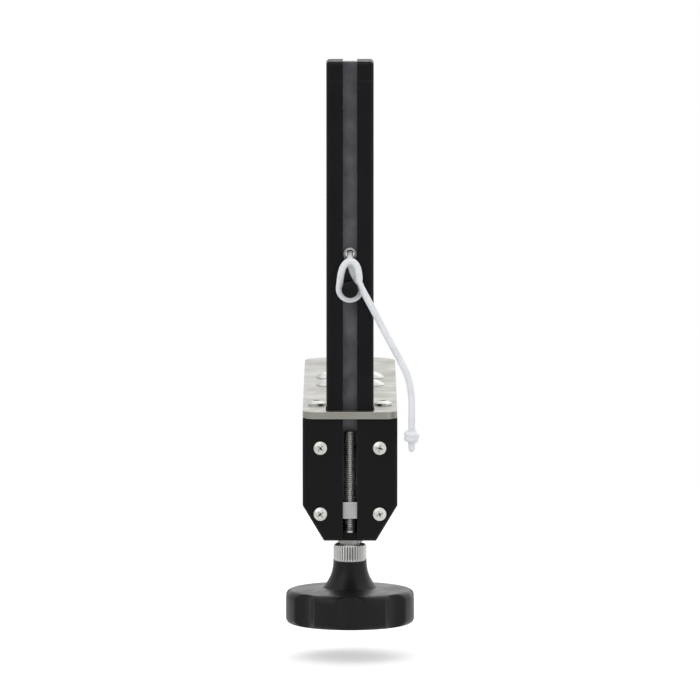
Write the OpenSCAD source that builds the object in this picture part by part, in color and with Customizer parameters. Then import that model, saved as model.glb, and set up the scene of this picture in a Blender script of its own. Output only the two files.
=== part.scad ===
// Table tennis net clamp: a screw clamp that grips the side edge of a table board and
// carries a slotted net post on an arm outside the edge. The post slides in a socket and
// is set to height by a spindle with a thumb wheel.
// Frame: the origin is the top corner of the board's edge, +Z up, +Y towards the table's
// middle, +X along the table. Millimetres.

/* [Board] */
// Thickness of the board that the jaws grip
board_t = 25; // [20:0.5:30]

/* [Post] */
// Height of the post's top above the board
post_h = 152.5; // [140:0.5:165]
// Distance from the board's edge to the post's outer face
post_reach = 152.5; // [140:0.5:170]
// Width of each side bar
bar_w = 7; // [6.5:0.1:8]
// Depth of the side bars
bar_d = 17; // [16.5:0.1:18.5]
// Radius of the bars' outer edges
bar_round = 2; // [1:0.1:2.5]
// Width of the core strip, which is also the slot between the bars
core_w = 6; // [6:0.1:7]
// Thickness of the core strip
core_t = 5; // [4.5:0.1:5.5]
// Depth of the core strip behind the bars' outer face
outer_recess = 7; // [6.5:0.1:7.5]
// Radius of the cross pins that hold the bars to the core
pin_r = 2; // [1.5:0.1:2.2]
// Height of the top cap's cheeks
cap_h = 8; // [7:0.5:10]
// Depth of the knot's notch in the top cap
notch_h = 5.8; // [4.8:0.1:6]
// Depth of the cap's plug below the notch
cap_plug_h = 7.8; // [6:0.2:10]

/* [Arm] */
// Width of the arm plate
arm_w = 40; // [38:0.5:44]
// Thickness of the arm plate
arm_t = 3; // [2.5:0.1:4]
// Length of the arm plate over the board
arm_inboard = 62; // [58:0.5:70]
// Reach of the arm plate beyond the socket's front
arm_nose = 2; // [1:0.5:4]
// Radius of the plate's outer corners
nose_round = 6; // [3:0.5:8]
// Radius of the plate's corners over the board
tail_round = 13; // [8:0.5:16]
// Depth of the stiffening flanges below the plate
flange_h = 11; // [8:0.5:14]
// Thickness of the stiffening flanges
flange_t = 3; // [2:0.1:3.2]
// Radius of the stiffening bead along the plate
bead_r = 4.5; // [3.5:0.1:4.7]
// Height of the stiffening bead above the plate
bead_rise = 1.5; // [1:0.1:1.8]

/* [Jaw frame] */
// Thickness of the jaw frame's walls
leg_t = 5; // [4:0.1:6]
// Width of the jaw frame
leg_w = 30; // [29:0.5:32]
// Length of the upper leg outside the web
leg_out = 54; // [52:0.5:60]
// Drop from the board's top to the lower leg
throat_h = 57; // [55:0.5:64]
// Distance of the screw's axis from the board's edge
screw_y = 32; // [28:0.5:38]
// Thickness of the centre rib
rib_t = 6; // [4:0.5:8]
// Height of the rib outside the web
rib_out = 9; // [6:0.5:12]
// Radius of the hollow gusset under the upper leg
gusset_r = 40; // [34:0.5:43]
// Radius of the screw boss
boss_r = 13; // [12:0.5:15]
// Height of the screw boss above the lower leg
boss_rise = 3; // [2:0.5:5]
// Depth of the screw boss below the lower leg
boss_drop = 6; // [4:0.5:8]
// Radius of the rivet shanks
rivet_r = 3; // [2:0.1:3.5]
// Radius of the rivet heads
rivet_head_r = 4.9; // [4:0.1:5]

/* [Pads] */
// Thickness of the pad under the arm plate
pad_t = 2; // [1.5:0.1:3]
// Thickness of the pad at the board's edge
edge_pad_t = 3; // [2:0.1:4]
// Width of the pad at the board's edge
edge_pad_w = 24; // [18:0.5:28]

/* [Clamp screw] */
// Radius of the clamp screw
screw_r = 6; // [5:0.1:6.5]
// Radius of the screw's tip
tip_r = 4; // [3.5:0.1:4.5]
// Radius of the threaded bush in the boss
bush_r = 9; // [8:0.1:10]
// Radius of the pressure plate
plate_r = 17; // [15:0.5:20]
// Thickness of the pressure plate
plate_t = 3; // [2:0.1:4]
// Thickness of the pressure plate's facing
facing_t = 3; // [2:0.1:4]
// Height of the neck under the pressure plate
plate_neck_h = 7; // [6:0.1:8]

/* [Knob] */
// Depth of the knob's top below the board's top
knob_drop = 81; // [80:0.5:86]
// Radius of the knob's rim
knob_r = 29; // [26:0.5:32]
// Height of the knob's neck
knob_neck_h = 13; // [12:0.5:16]
// Height of the knob's rim
knob_rim_h = 16; // [14:0.5:20]
// Radius of the neck's top
neck_r = 7.4; // [7.2:0.1:8.5]
// Radius of the hub and the neck's foot
hub_r = 12; // [11.5:0.1:13]
// Number of finger scallops and of ribs under the rim
scallops = 8; // [6:1:10]
// Depth of the finger scallops
scallop_h = 2.5; // [1.5:0.1:3]

/* [Socket] */
// Height of the post socket below the arm plate
socket_h = 52; // [50:0.5:58]
// Thickness of the socket's floor
floor_t = 3; // [2:0.1:4]
// Thickness of the socket's back wall
back_t = 7.3; // [6:0.1:9]
// Thickness of the front rails
rail_t = 3.3; // [2.5:0.1:4]
// Height of the slanted corners at the socket's foot
taper_h = 15; // [10:0.5:16]
// Width taken off each slanted corner
taper_w = 9; // [5:0.5:9.5]
// Distance between the two columns of rail screws
rail_screw_dx = 25; // [24.5:0.1:27]
// Distance between the two rows of rail screws
rail_screw_dz = 28; // [24:0.5:30]
// Running gap between the post and its socket
slide_gap = 0.2; // [0.1:0.05:0.3]
// Width of the broken edges of the socket, the rails and the cap
edge_break = 1; // [0.5:0.1:1.2]

/* [Height spindle] */
// Radius of the height spindle
spindle_r = 2.5; // [2:0.1:2.6]
// Radius of the thumb wheel
wheel_r = 7; // [6:0.1:8]
// Height of the thumb wheel's knurled rim
wheel_h = 7; // [5:0.5:9]
// Number of teeth in the knurl
knurl_n = 28; // [20:1:36]
// Height of the lift nut
nut_h = 7; // [6:0.1:8]
// Travel of the post below its normal height
post_fall = 4; // [2:0.5:5]

/* [Cord] */
// Radius of the net cord
cord_r = 1.5; // [1.2:0.1:1.6]
// Height of the cord peg above the board
peg_z = 57; // [50:0.5:60]
// Radius of the cord peg
peg_r = 2.75; // [2.2:0.05:2.9]
// Height of the cord eyelet above the peg
eyelet_rise = 13.5; // [12.5:0.5:17]

/* [Hidden] */
$fn = 64;
fit = 0.05;                 // radial clearance of a thread or a turning shaft
part_gap = 0.2;             // gap between faces that turn past each other
over = 1;                   // how far a cut runs past the face it opens

// Arm plate
plate_z0 = pad_t;
plate_z1 = pad_t + arm_t;
bead_start = 8;             // bead's end from the socket's back
bead_end = 12;              // bead's end from the plate's inner end

// Post
post_w = 2 * bar_w + core_w;
post_y0 = -post_reach;
post_y1 = post_y0 + bar_d;
core_y0 = post_y0 + outer_recess;
core_y1 = core_y0 + core_t;
slot_y = (core_y1 + post_y1) / 2;
eyelet_z = peg_z + eyelet_rise;
bars_top = post_h - cap_h;
core_short = 0.5;                   // core's top edge below the cap's
core_top = post_h - core_short;
plug_top = post_h - notch_h;
bar_x = core_w / 2 + bar_w / 2;

// Socket and its rails
rail_y1 = post_y0 - slide_gap;
rail_y0 = rail_y1 - rail_t;
socket_y1 = post_y1 + slide_gap + back_t;
socket_z0 = plate_z0 - socket_h;
pocket_w = 5;                       // the two pockets in the block's back
pocket_x = 1;                       // half of the wall between them
pocket_end = 5;                     // their ends from the block's floor and top
pocket_wall = 4;                    // what they leave of the back
floor_z = socket_z0 + floor_t;
rail_screw_rise = 8.5;              // lower row's height over the socket's floor
rail_screw_z = floor_z + rail_screw_rise;
rail_screw_r = 1.5;
rail_screw_head_r = 2.8;
rail_screw_head_h = 1.9;
rail_screw_len = 11;
plate_y0 = rail_y0 - arm_nose;
bolt_r = 2;
bolt_head_r = 3.8;
bolt_head_h = 2.2;
bolt_len = 14;
bolt_edge = 6;                      // from the plate's side
bolt_x = arm_w / 2 - bolt_edge;
bolt_y = socket_y1 - back_t / 2;

// Spindle, its clip and the nut on the post's foot
spindle_y = post_y0 + outer_recess / 2;
washer_t = 0.8;
washer_clear = 0.1;
clip_t = 0.7;
clip_r = 3.5;
groove_d = 0.5;                     // depth of the clip's groove
nut_spare = 0.5;                    // gap that is left under the nut at its lowest
nut_z0 = floor_z + washer_t + clip_t + nut_spare + post_fall;
nut_z1 = nut_z0 + nut_h;
nut_side_gap = 0.5;
nut_screw_r = 1.5;
nut_screw_in = 1;                   // nut screws' place outside the core's inner face
nut_screw_y = core_y1 - nut_screw_in;
nut_screw_bite = 6;                 // their length in the bars
nut_screw_len = nut_h + nut_screw_bite;
nut_screw_flare = 1.4;              // height and reach of their countersunk heads
spindle_short = 6;                  // from the plate down to the spindle's end
spindle_top = plate_z0 - spindle_short;
spindle_tip = 1;                    // height of its tapered end
spindle_taper = 0.8;
collar_h = 1.8;
collar_r = 4.2;
wheel_z1 = socket_z0 - part_gap - collar_h;
wheel_z0 = wheel_z1 - wheel_h;
knurl_depth = 0.6;

// Cross pins, from the post's foot to its cap
pin_count = 4;
pin_foot = 14;                      // lowest pin's height over the nut
pin_head = 7;                       // highest pin's depth under the cap
pin_first = nut_z1 + pin_foot;
pin_last = bars_top - pin_head;

// Jaw frame
web_y1 = -edge_pad_t;
web_y0 = web_y1 - leg_t;
leg_z0 = plate_z0 - leg_t;
leg_y0 = web_y0 - leg_out;
low_z1 = -throat_h;
low_z0 = low_z1 - leg_t;
boss_z1 = low_z1 + boss_rise;
boss_z0 = low_z0 - boss_drop;
bend_r = 8;                         // outer radius of the lower bend
inner_bend_r = 3;
wall_past_bend = 4;                 // bent wall's run past its lower bend
sole_past_bend = 3;                 // where the lower leg starts to narrow
rivet_edge = 5;                     // from the upper leg's side
rivet_out = 10;                     // from its outer end
rivet_in = 14;                      // from the web
rivet_foot_less = 0.4;              // foot's radius is this much less than the head's
rivet_x = leg_w / 2 - rivet_edge;
rivet_ys = [leg_y0 + rivet_out, web_y0 - rivet_in];
rivet_head_h = 2.4;
rivet_foot_h = 1.8;
rib_clear = 5;                      // rib's start from the end of the upper leg
rib_low_r = 14;
rib_drop = 2;                       // gusset's least depth under the upper leg
boss_flare = 0.98;                  // where the lower leg's sides meet the boss
boss_lead = 0.2;

// Flanges of the arm plate
flange_gap = 2;                     // from the socket and from the jaw frame's web
flange_y0 = socket_y1 + flange_gap;
flange_y1 = web_y0 - flange_gap;
flange_slant = 12;
flange_end_h = 3;                   // depth at the flange's ends

// Pads
upper_pad_edge = 3;                 // plate's margin round the pad
upper_pad_y0 = 1;
upper_pad_round = 2;
edge_pad_z1 = -2;
edge_pad_h = 20;

// Pressure plate and clamp screw
facing_z1 = -board_t;
facing_z0 = facing_z1 - facing_t;
cup_z0 = facing_z0 - plate_t;
cup_neck_z0 = cup_z0 - plate_neck_h;
cup_wall = 4;                       // wall of the neck round the screw's tip
cup_neck_r = tip_r + cup_wall;
cup_rim_t = 1.5;
cup_rim_h = 1.5;
ring_t = 1;
ring_z = cup_z0 - plate_neck_h / 2;
ring_bite = 0.8;                    // depth of the ring's groove in the tip
ring_out = 1.1;                     // reach of the ring outside the tip
bush_flange_r = 11;
bush_flange_t = 2;
knob_z1 = -knob_drop;
rim_z1 = knob_z1 - knob_neck_h;
knob_z0 = rim_z1 - knob_rim_h;
rim_round = 3.5;
rim_wall = 5;
rim_deck = 5;                       // thickness of the knob's deck
rib_wall = 2;
rib_bite = 1;                       // how far the ribs run into the hub and the rim
rib_foot = 1;                       // ribs' foot above the hub's
deck_fall = 1;                      // fall of the deck from the neck to the rim
hub_draft = 0.5;
screw_end = 6;                      // screw's end over the knob's foot
screw_z0 = knob_z0 + screw_end;
cap_disc_h = 1.5;
cap_disc_r = 9;
cap_stem_h = 2.5;
knob_pin_r = 1.5;
knob_pin_drop = 6;                  // pin's depth under the knob's top
knob_pin_z = knob_z1 - knob_pin_drop;
knob_pin_out = 0.5;                 // how far the pin stands out of the neck
knob_pin_half = neck_r + knob_pin_out;
neck_power = 2.6;                   // how late the neck swells
scallop_r = 9;

// Peg and eyelet
peg_stud_r = 1.5;
peg_lip = 0.75;
peg_head_r = peg_r + peg_lip;
peg_head_h = 1.5;
eyelet_r = 2.6;
eyelet_flange_r = 2.9;
eyelet_flange_t = 0.5;
eyelet_clear = 0.4;
eyelet_bore_r = cord_r + eyelet_clear;

// Net cord: one turn round the peg, clockwise seen from outside, then a free end
cord_sides = 8;
wrap_clear = 0.25;
wrap_r = peg_r + cord_r + wrap_clear;
wrap_start = 20;                    // angle where the turn begins, from +X
wrap_sweep = 352;
wrap_end = wrap_start - wrap_sweep;
wrap_round = 200;                   // how far the turn hugs the peg before it rises into a loop
wrap_steps = 12;
cord_gap = 0.3;                     // cord's gap to the bars, and a little less to the peg's head
turn_gap = 0.7;                     // gap between the turn's two ends
wrap_y0 = post_y0 - cord_r - cord_gap;
wrap_pitch = 2 * cord_r + turn_gap;
wrap_y1 = wrap_y0 - wrap_pitch;
peg_y0 = wrap_y1 - cord_r - cord_gap + 0.1;
knot_r = 2.8;
knot_seat_clear = 0.2;
knot_seat_r = cord_r + knot_seat_clear;
knot_z = plug_top + sqrt(knot_r * knot_r - knot_seat_r * knot_seat_r);
tail_knot_r = 3.4;
tail_knot_rise = 0.6;               // knot's top over the cord's last point
tail_stub = 3;                      // cut end under the knot
bend_reach = 4.5;                   // radius of the cord's turn into the eyelet
bend_y = core_y1 + eyelet_flange_t; // where that turn ends, at the eyelet's inner face
bend_steps = 6;
drop_steps = 8;                     // steps of the straight run down the slot
// The cord comes out of the eyelet and leads to the peg. Each point is x, then the
// distance outwards from the eyelet's outer face, then the distance below the eyelet.
lead_points = [[0, 0, 0], [0, 3, 0.4], [0.1, 5.8, 2], [0.6, 7.6, 4.6], [1.8, 8.3, 8]];
// The loose top of the turn: x, then the height over the peg, then how far the turn has come.
loop_points = [[-4.2, 3.2, 220], [-3.8, 6.2, 236], [-2.9, 9.2, 252], [-1.1, 11.3, 266],
    [1.3, 11.4, 282], [3, 9.4, 296], [3.7, 6.4, 312], [3.9, 4, 332]];
// The free end, from the peg: x, then outwards from the turn's end, then height over the board.
tail_points = [[8.7, 0, 50.3], [13.3, 0, 41.5], [18, 0.1, 32.7], [22.4, 0.2, 24.4],
    [24.5, 0.3, 19.4], [25.6, 0.4, 14], [26, 0.4, 8.5], [26, 0.4, 3], [26, 0.4, -2]];

// ---------- shapes used by several pieces ----------

function arc(c, r, from, to, steps = 8) =
    [for (i = [0 : steps]) let (a = from + (to - from) * i / steps) c + r * [cos(a), sin(a)]];

// Outline of a plate from y0 to y1 with rounded corners at each end.
function plate_outline(w, y0, y1, r0, r1) = concat(
    arc([w / 2 - r0, y0 + r0], r0, -90, 0),
    arc([w / 2 - r1, y1 - r1], r1, 0, 90),
    arc([-w / 2 + r1, y1 - r1], r1, 90, 180),
    arc([-w / 2 + r0, y0 + r0], r0, 180, 270));

// An outline in y and z, w wide and centred on x = 0.
module across(w) {
    rotate([90, 0, 90]) translate([0, 0, -w / 2]) linear_extrude(w) children();
}

// An outline in x and z, from y0 to y1.
module along(y0, y1) {
    translate([0, y1, 0]) rotate([90, 0, 0]) linear_extrude(y1 - y0) children();
}

module box(x, y, z) {
    translate([x[0], y[0], z[0]]) cube([x[1] - x[0], y[1] - y[0], z[1] - z[0]]);
}

module rod(r, z0, z1, y = 0, x = 0) {
    translate([x, y, z0]) cylinder(r = r, h = z1 - z0);
}

// A rod along y.
module rod_y(r, y0, y1, z, x = 0) {
    translate([x, y1, z]) rotate([90, 0, 0]) cylinder(r = r, h = y1 - y0);
}

// A rod along x, centred on x = 0.
module rod_x(r, half, y, z) {
    translate([-half, y, z]) rotate([0, 90, 0]) cylinder(r = r, h = 2 * half);
}

// What breaks the edges of an outline in x and z, in its plane at y: a bar turned to 45 degrees
// along each side, from each corner of the list to the next.
module edge_cuts(corners, y) {
    thick = edge_break * sqrt(2);
    for (i = [0 : len(corners) - 2]) let (p = corners[i], d = corners[i + 1] - p)
        translate([p[0], y, p[1]]) rotate([0, -atan2(d[1], d[0]), 0]) translate([norm(d) / 2, 0, 0])
            rotate([45, 0, 0]) cube([norm(d) + 2 * edge_break, thick, thick], center = true);
}

// A low dome of radius r and height h, standing on z = 0.
module dome(r, h) {
    ball = (r * r + h * h) / (2 * h);
    intersection() {
        translate([0, 0, h - ball]) sphere(ball);
        cylinder(r = r, h = h);
    }
}

// ---------- arm and jaw frame ----------

module rivet_places() {
    for (x = [-rivet_x, rivet_x], y = rivet_ys) translate([x, y, 0]) children();
}

module bolt_places() {
    for (x = [-bolt_x, bolt_x]) translate([x, bolt_y, 0]) children();
}

module arm_bead() {
    y0 = socket_y1 + bead_start;
    y1 = arm_inboard - bead_end;
    z = plate_z1 + bead_rise - bead_r;
    intersection() {
        union() {
            rod_y(bead_r, y0, y1, z);
            for (y = [y0, y1]) translate([0, y, z]) sphere(bead_r);
        }
        box([-bead_r, bead_r], [y0 - bead_r, y1 + bead_r], [plate_z1 - arm_t / 2, plate_z1 + bead_r]);
    }
}

module arm_flange(side) {
    translate([side * (arm_w - flange_t) / 2, 0, 0]) across(flange_t) polygon([
        [flange_y0, plate_z1 - arm_t / 2], [flange_y0, plate_z0 - flange_end_h],
        [flange_y0 + flange_slant, plate_z0 - flange_h], [flange_y1 - flange_slant, plate_z0 - flange_h],
        [flange_y1, plate_z0 - flange_end_h], [flange_y1, plate_z1 - arm_t / 2]]);
}

module arm_plate() {
    color("#a9aca6") difference() {
        union() {
            translate([0, 0, plate_z0]) linear_extrude(arm_t)
                polygon(plate_outline(arm_w, plate_y0, arm_inboard, nose_round, tail_round));
            arm_flange(-1);
            arm_flange(1);
            arm_bead();
        }
        box([-post_w / 2 - slide_gap, post_w / 2 + slide_gap], [post_y0 - slide_gap, post_y1 + slide_gap],
            [plate_z0 - over, plate_z1 + over]);
        bolt_places() rod(bolt_r, plate_z0 - over, plate_z1 + over);
        rivet_places() rod(rivet_r, plate_z0 - over, plate_z1 + over);
    }
}

module upper_pad() {
    w = arm_w - 2 * upper_pad_edge;
    color("#202124") linear_extrude(pad_t)
        polygon(plate_outline(w, upper_pad_y0, arm_inboard - upper_pad_edge, upper_pad_round,
            tail_round - upper_pad_edge));
}

// Outer shape of the centre rib: a hollow gusset under the upper leg, then down the web
// and along under the lower leg to the boss.
function rib_outline() = concat(
    [[web_y1 - leg_t / 2, leg_z0 + leg_t / 2], [leg_y0 + rib_clear, leg_z0 + leg_t / 2]],
    arc([web_y0 - rib_out - gusset_r, leg_z0 - rib_drop - gusset_r], gusset_r, 90, 0, 12),
    arc([web_y0 - rib_out + rib_low_r, boss_z0 + rib_low_r], rib_low_r, 180, 270),
    [[screw_y, boss_z0], [screw_y, low_z1 - leg_t / 2], [web_y1 - leg_t / 2, low_z1 - leg_t / 2]]);

// Side outline of the bent wall: upper leg outwards, web down, lower leg inwards.
function wall_outline() = concat(
    [[leg_y0, plate_z0], [leg_y0, leg_z0]],
    arc([web_y0 - inner_bend_r, leg_z0 - inner_bend_r], inner_bend_r, 90, 0),
    arc([web_y0 + bend_r, low_z0 + bend_r], bend_r, 180, 270),
    [[web_y0 + bend_r + wall_past_bend, low_z0], [web_y0 + bend_r + wall_past_bend, low_z1]],
    arc([web_y1 + inner_bend_r, low_z1 + inner_bend_r], inner_bend_r, 270, 180),
    arc([web_y1 - inner_bend_r, plate_z0 - inner_bend_r], inner_bend_r, 0, 90));

module jaw_frame() {
    color("#17181a") difference() {
        union() {
            across(leg_w) polygon(wall_outline());
            translate([0, 0, low_z0]) linear_extrude(leg_t) polygon([
                [-leg_w / 2, web_y0 + bend_r + sole_past_bend], [leg_w / 2, web_y0 + bend_r + sole_past_bend],
                [boss_r * boss_flare, screw_y - boss_r * boss_lead],
                [-boss_r * boss_flare, screw_y - boss_r * boss_lead]]);
            rod(boss_r, boss_z0, boss_z1, screw_y);
            across(rib_t) polygon(rib_outline());
        }
        rod(bush_r, boss_z0 - over, boss_z1 + over, screw_y);
        rivet_places() rod(rivet_r, leg_z0 - over, plate_z0 + over);
    }
}

module edge_pad() {
    color("#202124")
        box([-edge_pad_w / 2, edge_pad_w / 2], [web_y1, 0], [edge_pad_z1 - edge_pad_h, edge_pad_z1]);
}

module screw_bush() {
    color("#b9bab6") difference() {
        union() {
            rod(bush_r, boss_z0, boss_z1, screw_y);
            rod(bush_flange_r, boss_z0 - bush_flange_t, boss_z0, screw_y);
        }
        rod(screw_r + fit, boss_z0 - bush_flange_t - over, boss_z1 + over, screw_y);
    }
}

module frame_rivets() {
    color("#c4c6c2") rivet_places() {
        rod(rivet_r, leg_z0, plate_z1);
        translate([0, 0, plate_z1]) dome(rivet_head_r, rivet_head_h);
        translate([0, 0, leg_z0]) mirror([0, 0, 1]) dome(rivet_head_r - rivet_foot_less, rivet_foot_h);
    }
}

// ---------- post socket and height spindle ----------

// Outline of the socket's front in x and z, from x = inner to the outer side at +x.
function socket_front(inner) = [[inner, plate_z0], [arm_w / 2, plate_z0], [arm_w / 2, socket_z0 + taper_h],
    [arm_w / 2 - taper_w, socket_z0], [inner < 0 ? taper_w - arm_w / 2 : inner, socket_z0],
    if (inner < 0) [inner, socket_z0 + taper_h]];

// Corners of its outer side and foot, at +x, where the edges are broken.
function socket_side() = [[arm_w / 2, plate_z0], [arm_w / 2, socket_z0 + taper_h],
    [arm_w / 2 - taper_w, socket_z0], [0, socket_z0]];

module rail_screw_places() {
    for (x = [-rail_screw_dx / 2, rail_screw_dx / 2], z = [rail_screw_z, rail_screw_z + rail_screw_dz])
        translate([x, 0, z]) children();
}

module post_socket() {
    half = post_w / 2 + slide_gap;
    pocket_d = back_t - pocket_wall;
    color("#1a1b1d") difference() {
        along(rail_y1, socket_y1) polygon(socket_front(-arm_w / 2));
        box([-half, half], [rail_y1 - over, post_y1 + slide_gap], [floor_z, plate_z0 + over]);
        rod(spindle_r + fit, socket_z0 - over, floor_z + over, spindle_y);
        rail_screw_places() rod_y(rail_screw_r, rail_y1 - over, rail_y1 + rail_screw_len, 0);
        bolt_places() rod(bolt_r, plate_z0 - bolt_len, plate_z0 + over);
        for (x = [-pocket_w - pocket_x, pocket_x])
            box([x, x + pocket_w], [socket_y1 - pocket_d, socket_y1 + over],
                [floor_z + pocket_end, plate_z0 - pocket_end - pocket_x]);
        for (m = [0, 1]) mirror([m, 0, 0]) edge_cuts(socket_side(), socket_y1);
    }
}

module rail(side) {
    color("#141517") mirror([side < 0 ? 1 : 0, 0, 0]) difference() {
        along(rail_y0, rail_y1) polygon(socket_front(core_w / 2));
        for (z = [rail_screw_z, rail_screw_z + rail_screw_dz])
            rod_y(rail_screw_r, rail_y0 - over, rail_y1 + over, z, rail_screw_dx / 2);
        edge_cuts(socket_side(), rail_y0);
    }
}

module rail_screws() {
    color("#d3d4d0") rail_screw_places() {
        rod_y(rail_screw_r, rail_y0, rail_y1 + rail_screw_len, 0);
        translate([0, rail_y0, 0]) rotate([90, 0, 0]) dome(rail_screw_head_r, rail_screw_head_h);
    }
}

module socket_bolts() {
    color("#c4c6c2") bolt_places() {
        rod(bolt_r, plate_z0 - bolt_len, plate_z1);
        translate([0, 0, plate_z1]) dome(bolt_head_r, bolt_head_h);
    }
}

module spindle_washer() {
    color("#b9bab6") difference() {
        rod(clip_r, floor_z, floor_z + washer_t, spindle_y);
        rod(spindle_r + washer_clear, floor_z - over, floor_z + washer_t + over, spindle_y);
    }
}

module spindle_clip() {
    z = floor_z + washer_t;
    color("#5c5d5b") difference() {
        rod(clip_r, z, z + clip_t, spindle_y);
        rod(spindle_r - groove_d, z - over, z + clip_t + over, spindle_y);
    }
}

module height_spindle() {
    z = floor_z + washer_t;
    color("#c9cac6") translate([0, spindle_y, 0]) {
        rod(spindle_r, wheel_z0, z);
        rod(spindle_r - groove_d, z, z + clip_t);
        rod(spindle_r, z + clip_t, spindle_top - spindle_tip);
        translate([0, 0, spindle_top - spindle_tip])
            cylinder(r1 = spindle_r, r2 = spindle_r - spindle_taper, h = spindle_tip);
    }
}

module thumb_wheel() {
    teeth = [for (i = [0 : 2 * knurl_n - 1]) let (a = 180 * i / knurl_n, r = wheel_r - (i % 2) * knurl_depth)
        r * [cos(a), sin(a)]];
    color("#b7b8b3") translate([0, spindle_y, 0]) difference() {
        union() {
            rod(collar_r, wheel_z1, wheel_z1 + collar_h);
            translate([0, 0, wheel_z0]) linear_extrude(wheel_h) polygon(teeth);
        }
        rod(spindle_r, wheel_z0 - over, wheel_z1 + collar_h + over);
    }
}

// ---------- post ----------

// Section of one side bar, at +x, with its outer edges rounded.
function bar_section() = concat(
    [[core_w / 2, post_y0]],
    arc([core_w / 2 + bar_w - bar_round, post_y0 + bar_round], bar_round, -90, 0),
    arc([core_w / 2 + bar_w - bar_round, post_y1 - bar_round], bar_round, 0, 90),
    [[core_w / 2, post_y1]]);

module pin_places() {
    for (i = [0 : pin_count - 1]) translate([0, 0, pin_first + (pin_last - pin_first) * i / (pin_count - 1)])
        children();
}

module bar(side) {
    color("#111214") mirror([side < 0 ? 1 : 0, 0, 0]) difference() {
        translate([0, 0, nut_z1]) linear_extrude(bars_top - nut_z1) polygon(bar_section());
        pin_places() rod_x(pin_r, post_w, (core_y0 + core_y1) / 2, 0);
        rod(nut_screw_r, nut_z1 - over, nut_z0 + nut_screw_len, nut_screw_y, bar_x);
    }
}

module post_core() {
    color("#8f918d") difference() {
        box([-core_w / 2, core_w / 2], [core_y0, core_y1], [nut_z1, core_top]);
        pin_places() rod_x(pin_r, post_w, (core_y0 + core_y1) / 2, 0);
        rod_y(eyelet_r, core_y0 - over, core_y1 + over, eyelet_z);
        rod_y(peg_stud_r, core_y0 - over, core_y1 + over, peg_z);
    }
}

module post_pins() {
    color("#a5a6a2") pin_places() rod_x(pin_r, post_w / 2, (core_y0 + core_y1) / 2, 0);
}

module nut_screw_places() {
    for (x = [-bar_x, bar_x]) translate([x, nut_screw_y, 0]) children();
}

module nut_screw(r = nut_screw_r) {
    rod(r, nut_z0, nut_z0 + nut_screw_len);
    translate([0, 0, nut_z0]) cylinder(r1 = r + nut_screw_flare, r2 = r, h = nut_screw_flare);
}

module lift_nut() {
    half = post_w / 2 - nut_side_gap;
    color("#a9aaa6") difference() {
        box([-half, half], [post_y0 + nut_side_gap, post_y1 - nut_side_gap], [nut_z0, nut_z1]);
        rod(spindle_r + fit, nut_z0 - over, nut_z1 + over, spindle_y);
        nut_screw_places() nut_screw();
    }
}

module nut_screws() {
    color("#c4c6c2") nut_screw_places() nut_screw();
}

module top_cap() {
    color("#111214") difference() {
        union() {
            for (m = [0, 1]) mirror([m, 0, 0]) difference() {
                translate([0, 0, bars_top]) linear_extrude(cap_h) polygon(bar_section());
                edge_cuts([[core_w / 2, post_h], [post_w / 2, post_h]], post_y0);
                edge_cuts([[core_w / 2, post_h], [post_w / 2, post_h]], post_y1);
                translate([post_w / 2, (post_y0 + post_y1) / 2, post_h]) rotate([0, 45, 0])
                    cube([edge_break * sqrt(2), bar_d + over, edge_break * sqrt(2)], center = true);
            }
            box([-core_w / 2, core_w / 2], [core_y1, post_y1], [plug_top - cap_plug_h, plug_top]);
        }
        rod(knot_seat_r, plug_top - cap_plug_h - over, plug_top + over, slot_y);
    }
}

// ---------- net cord ----------

module cord_peg() {
    color("#0e0f10") {
        rod_y(peg_stud_r, core_y0, core_y1, peg_z);
        rod_y(peg_r, peg_y0, core_y0, peg_z);
        rod_y(peg_head_r, peg_y0 - peg_head_h / 2, peg_y0, peg_z);
        translate([0, peg_y0 - peg_head_h / 2, peg_z]) rotate([90, 0, 0]) dome(peg_head_r, peg_head_h / 2);
    }
}

module cord_eyelet() {
    color("#b9bab6") difference() {
        union() {
            rod_y(eyelet_r, core_y0, core_y1, eyelet_z);
            rod_y(eyelet_flange_r, core_y0 - eyelet_flange_t, core_y0, eyelet_z);
            rod_y(eyelet_flange_r, core_y1, core_y1 + eyelet_flange_t, eyelet_z);
        }
        rod_y(eyelet_bore_r, core_y0 - over, core_y1 + over, eyelet_z);
    }
}

function unit(v) = v / norm(v);

// Vertices and faces of a tube of radius r along points, with its end faces square to
// the directions given.
function tube_points(path, r, first, last) = [for (i = [0 : len(path) - 1])
    let (t = i == 0 ? unit(first) : i == len(path) - 1 ? unit(last) : unit(path[i + 1] - path[i - 1]),
        side = abs(t[0]) > 0.9 ? [0, 0, 1] : [1, 0, 0],
        u = unit(cross(side, t)), v = cross(t, u))
    for (k = [0 : cord_sides - 1]) let (a = 360 * k / cord_sides) path[i] + r * (u * cos(a) + v * sin(a))];

function tube_faces(rings) = concat(
    [[for (k = [0 : cord_sides - 1]) k]],
    [for (i = [0 : rings - 2], k = [0 : cord_sides - 1]) let (n = (k + 1) % cord_sides, b = i * cord_sides)
        each [[b + k, b + cord_sides + k, b + cord_sides + n], [b + k, b + cord_sides + n, b + n]]],
    [[for (k = [cord_sides - 1 : -1 : 0]) (rings - 1) * cord_sides + k]]);

module tube(path, r, first, last) {
    polyhedron(points = tube_points(path, r, first, last), faces = tube_faces(len(path)), convexity = 8);
}

// How far out from the table the turn lies when it has come so many degrees.
function wrap_y(swept) = wrap_y0 + (wrap_y1 - wrap_y0) * swept / wrap_sweep;

// Position of the turn round the peg when it has come so many degrees.
function wrap_at(swept) = [wrap_r * cos(wrap_start - swept), wrap_y(swept),
    peg_z + wrap_r * sin(wrap_start - swept)];

// The direction of the cord where it leaves the peg.
tail_way = [sin(wrap_end), 0, -cos(wrap_end)];

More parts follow.
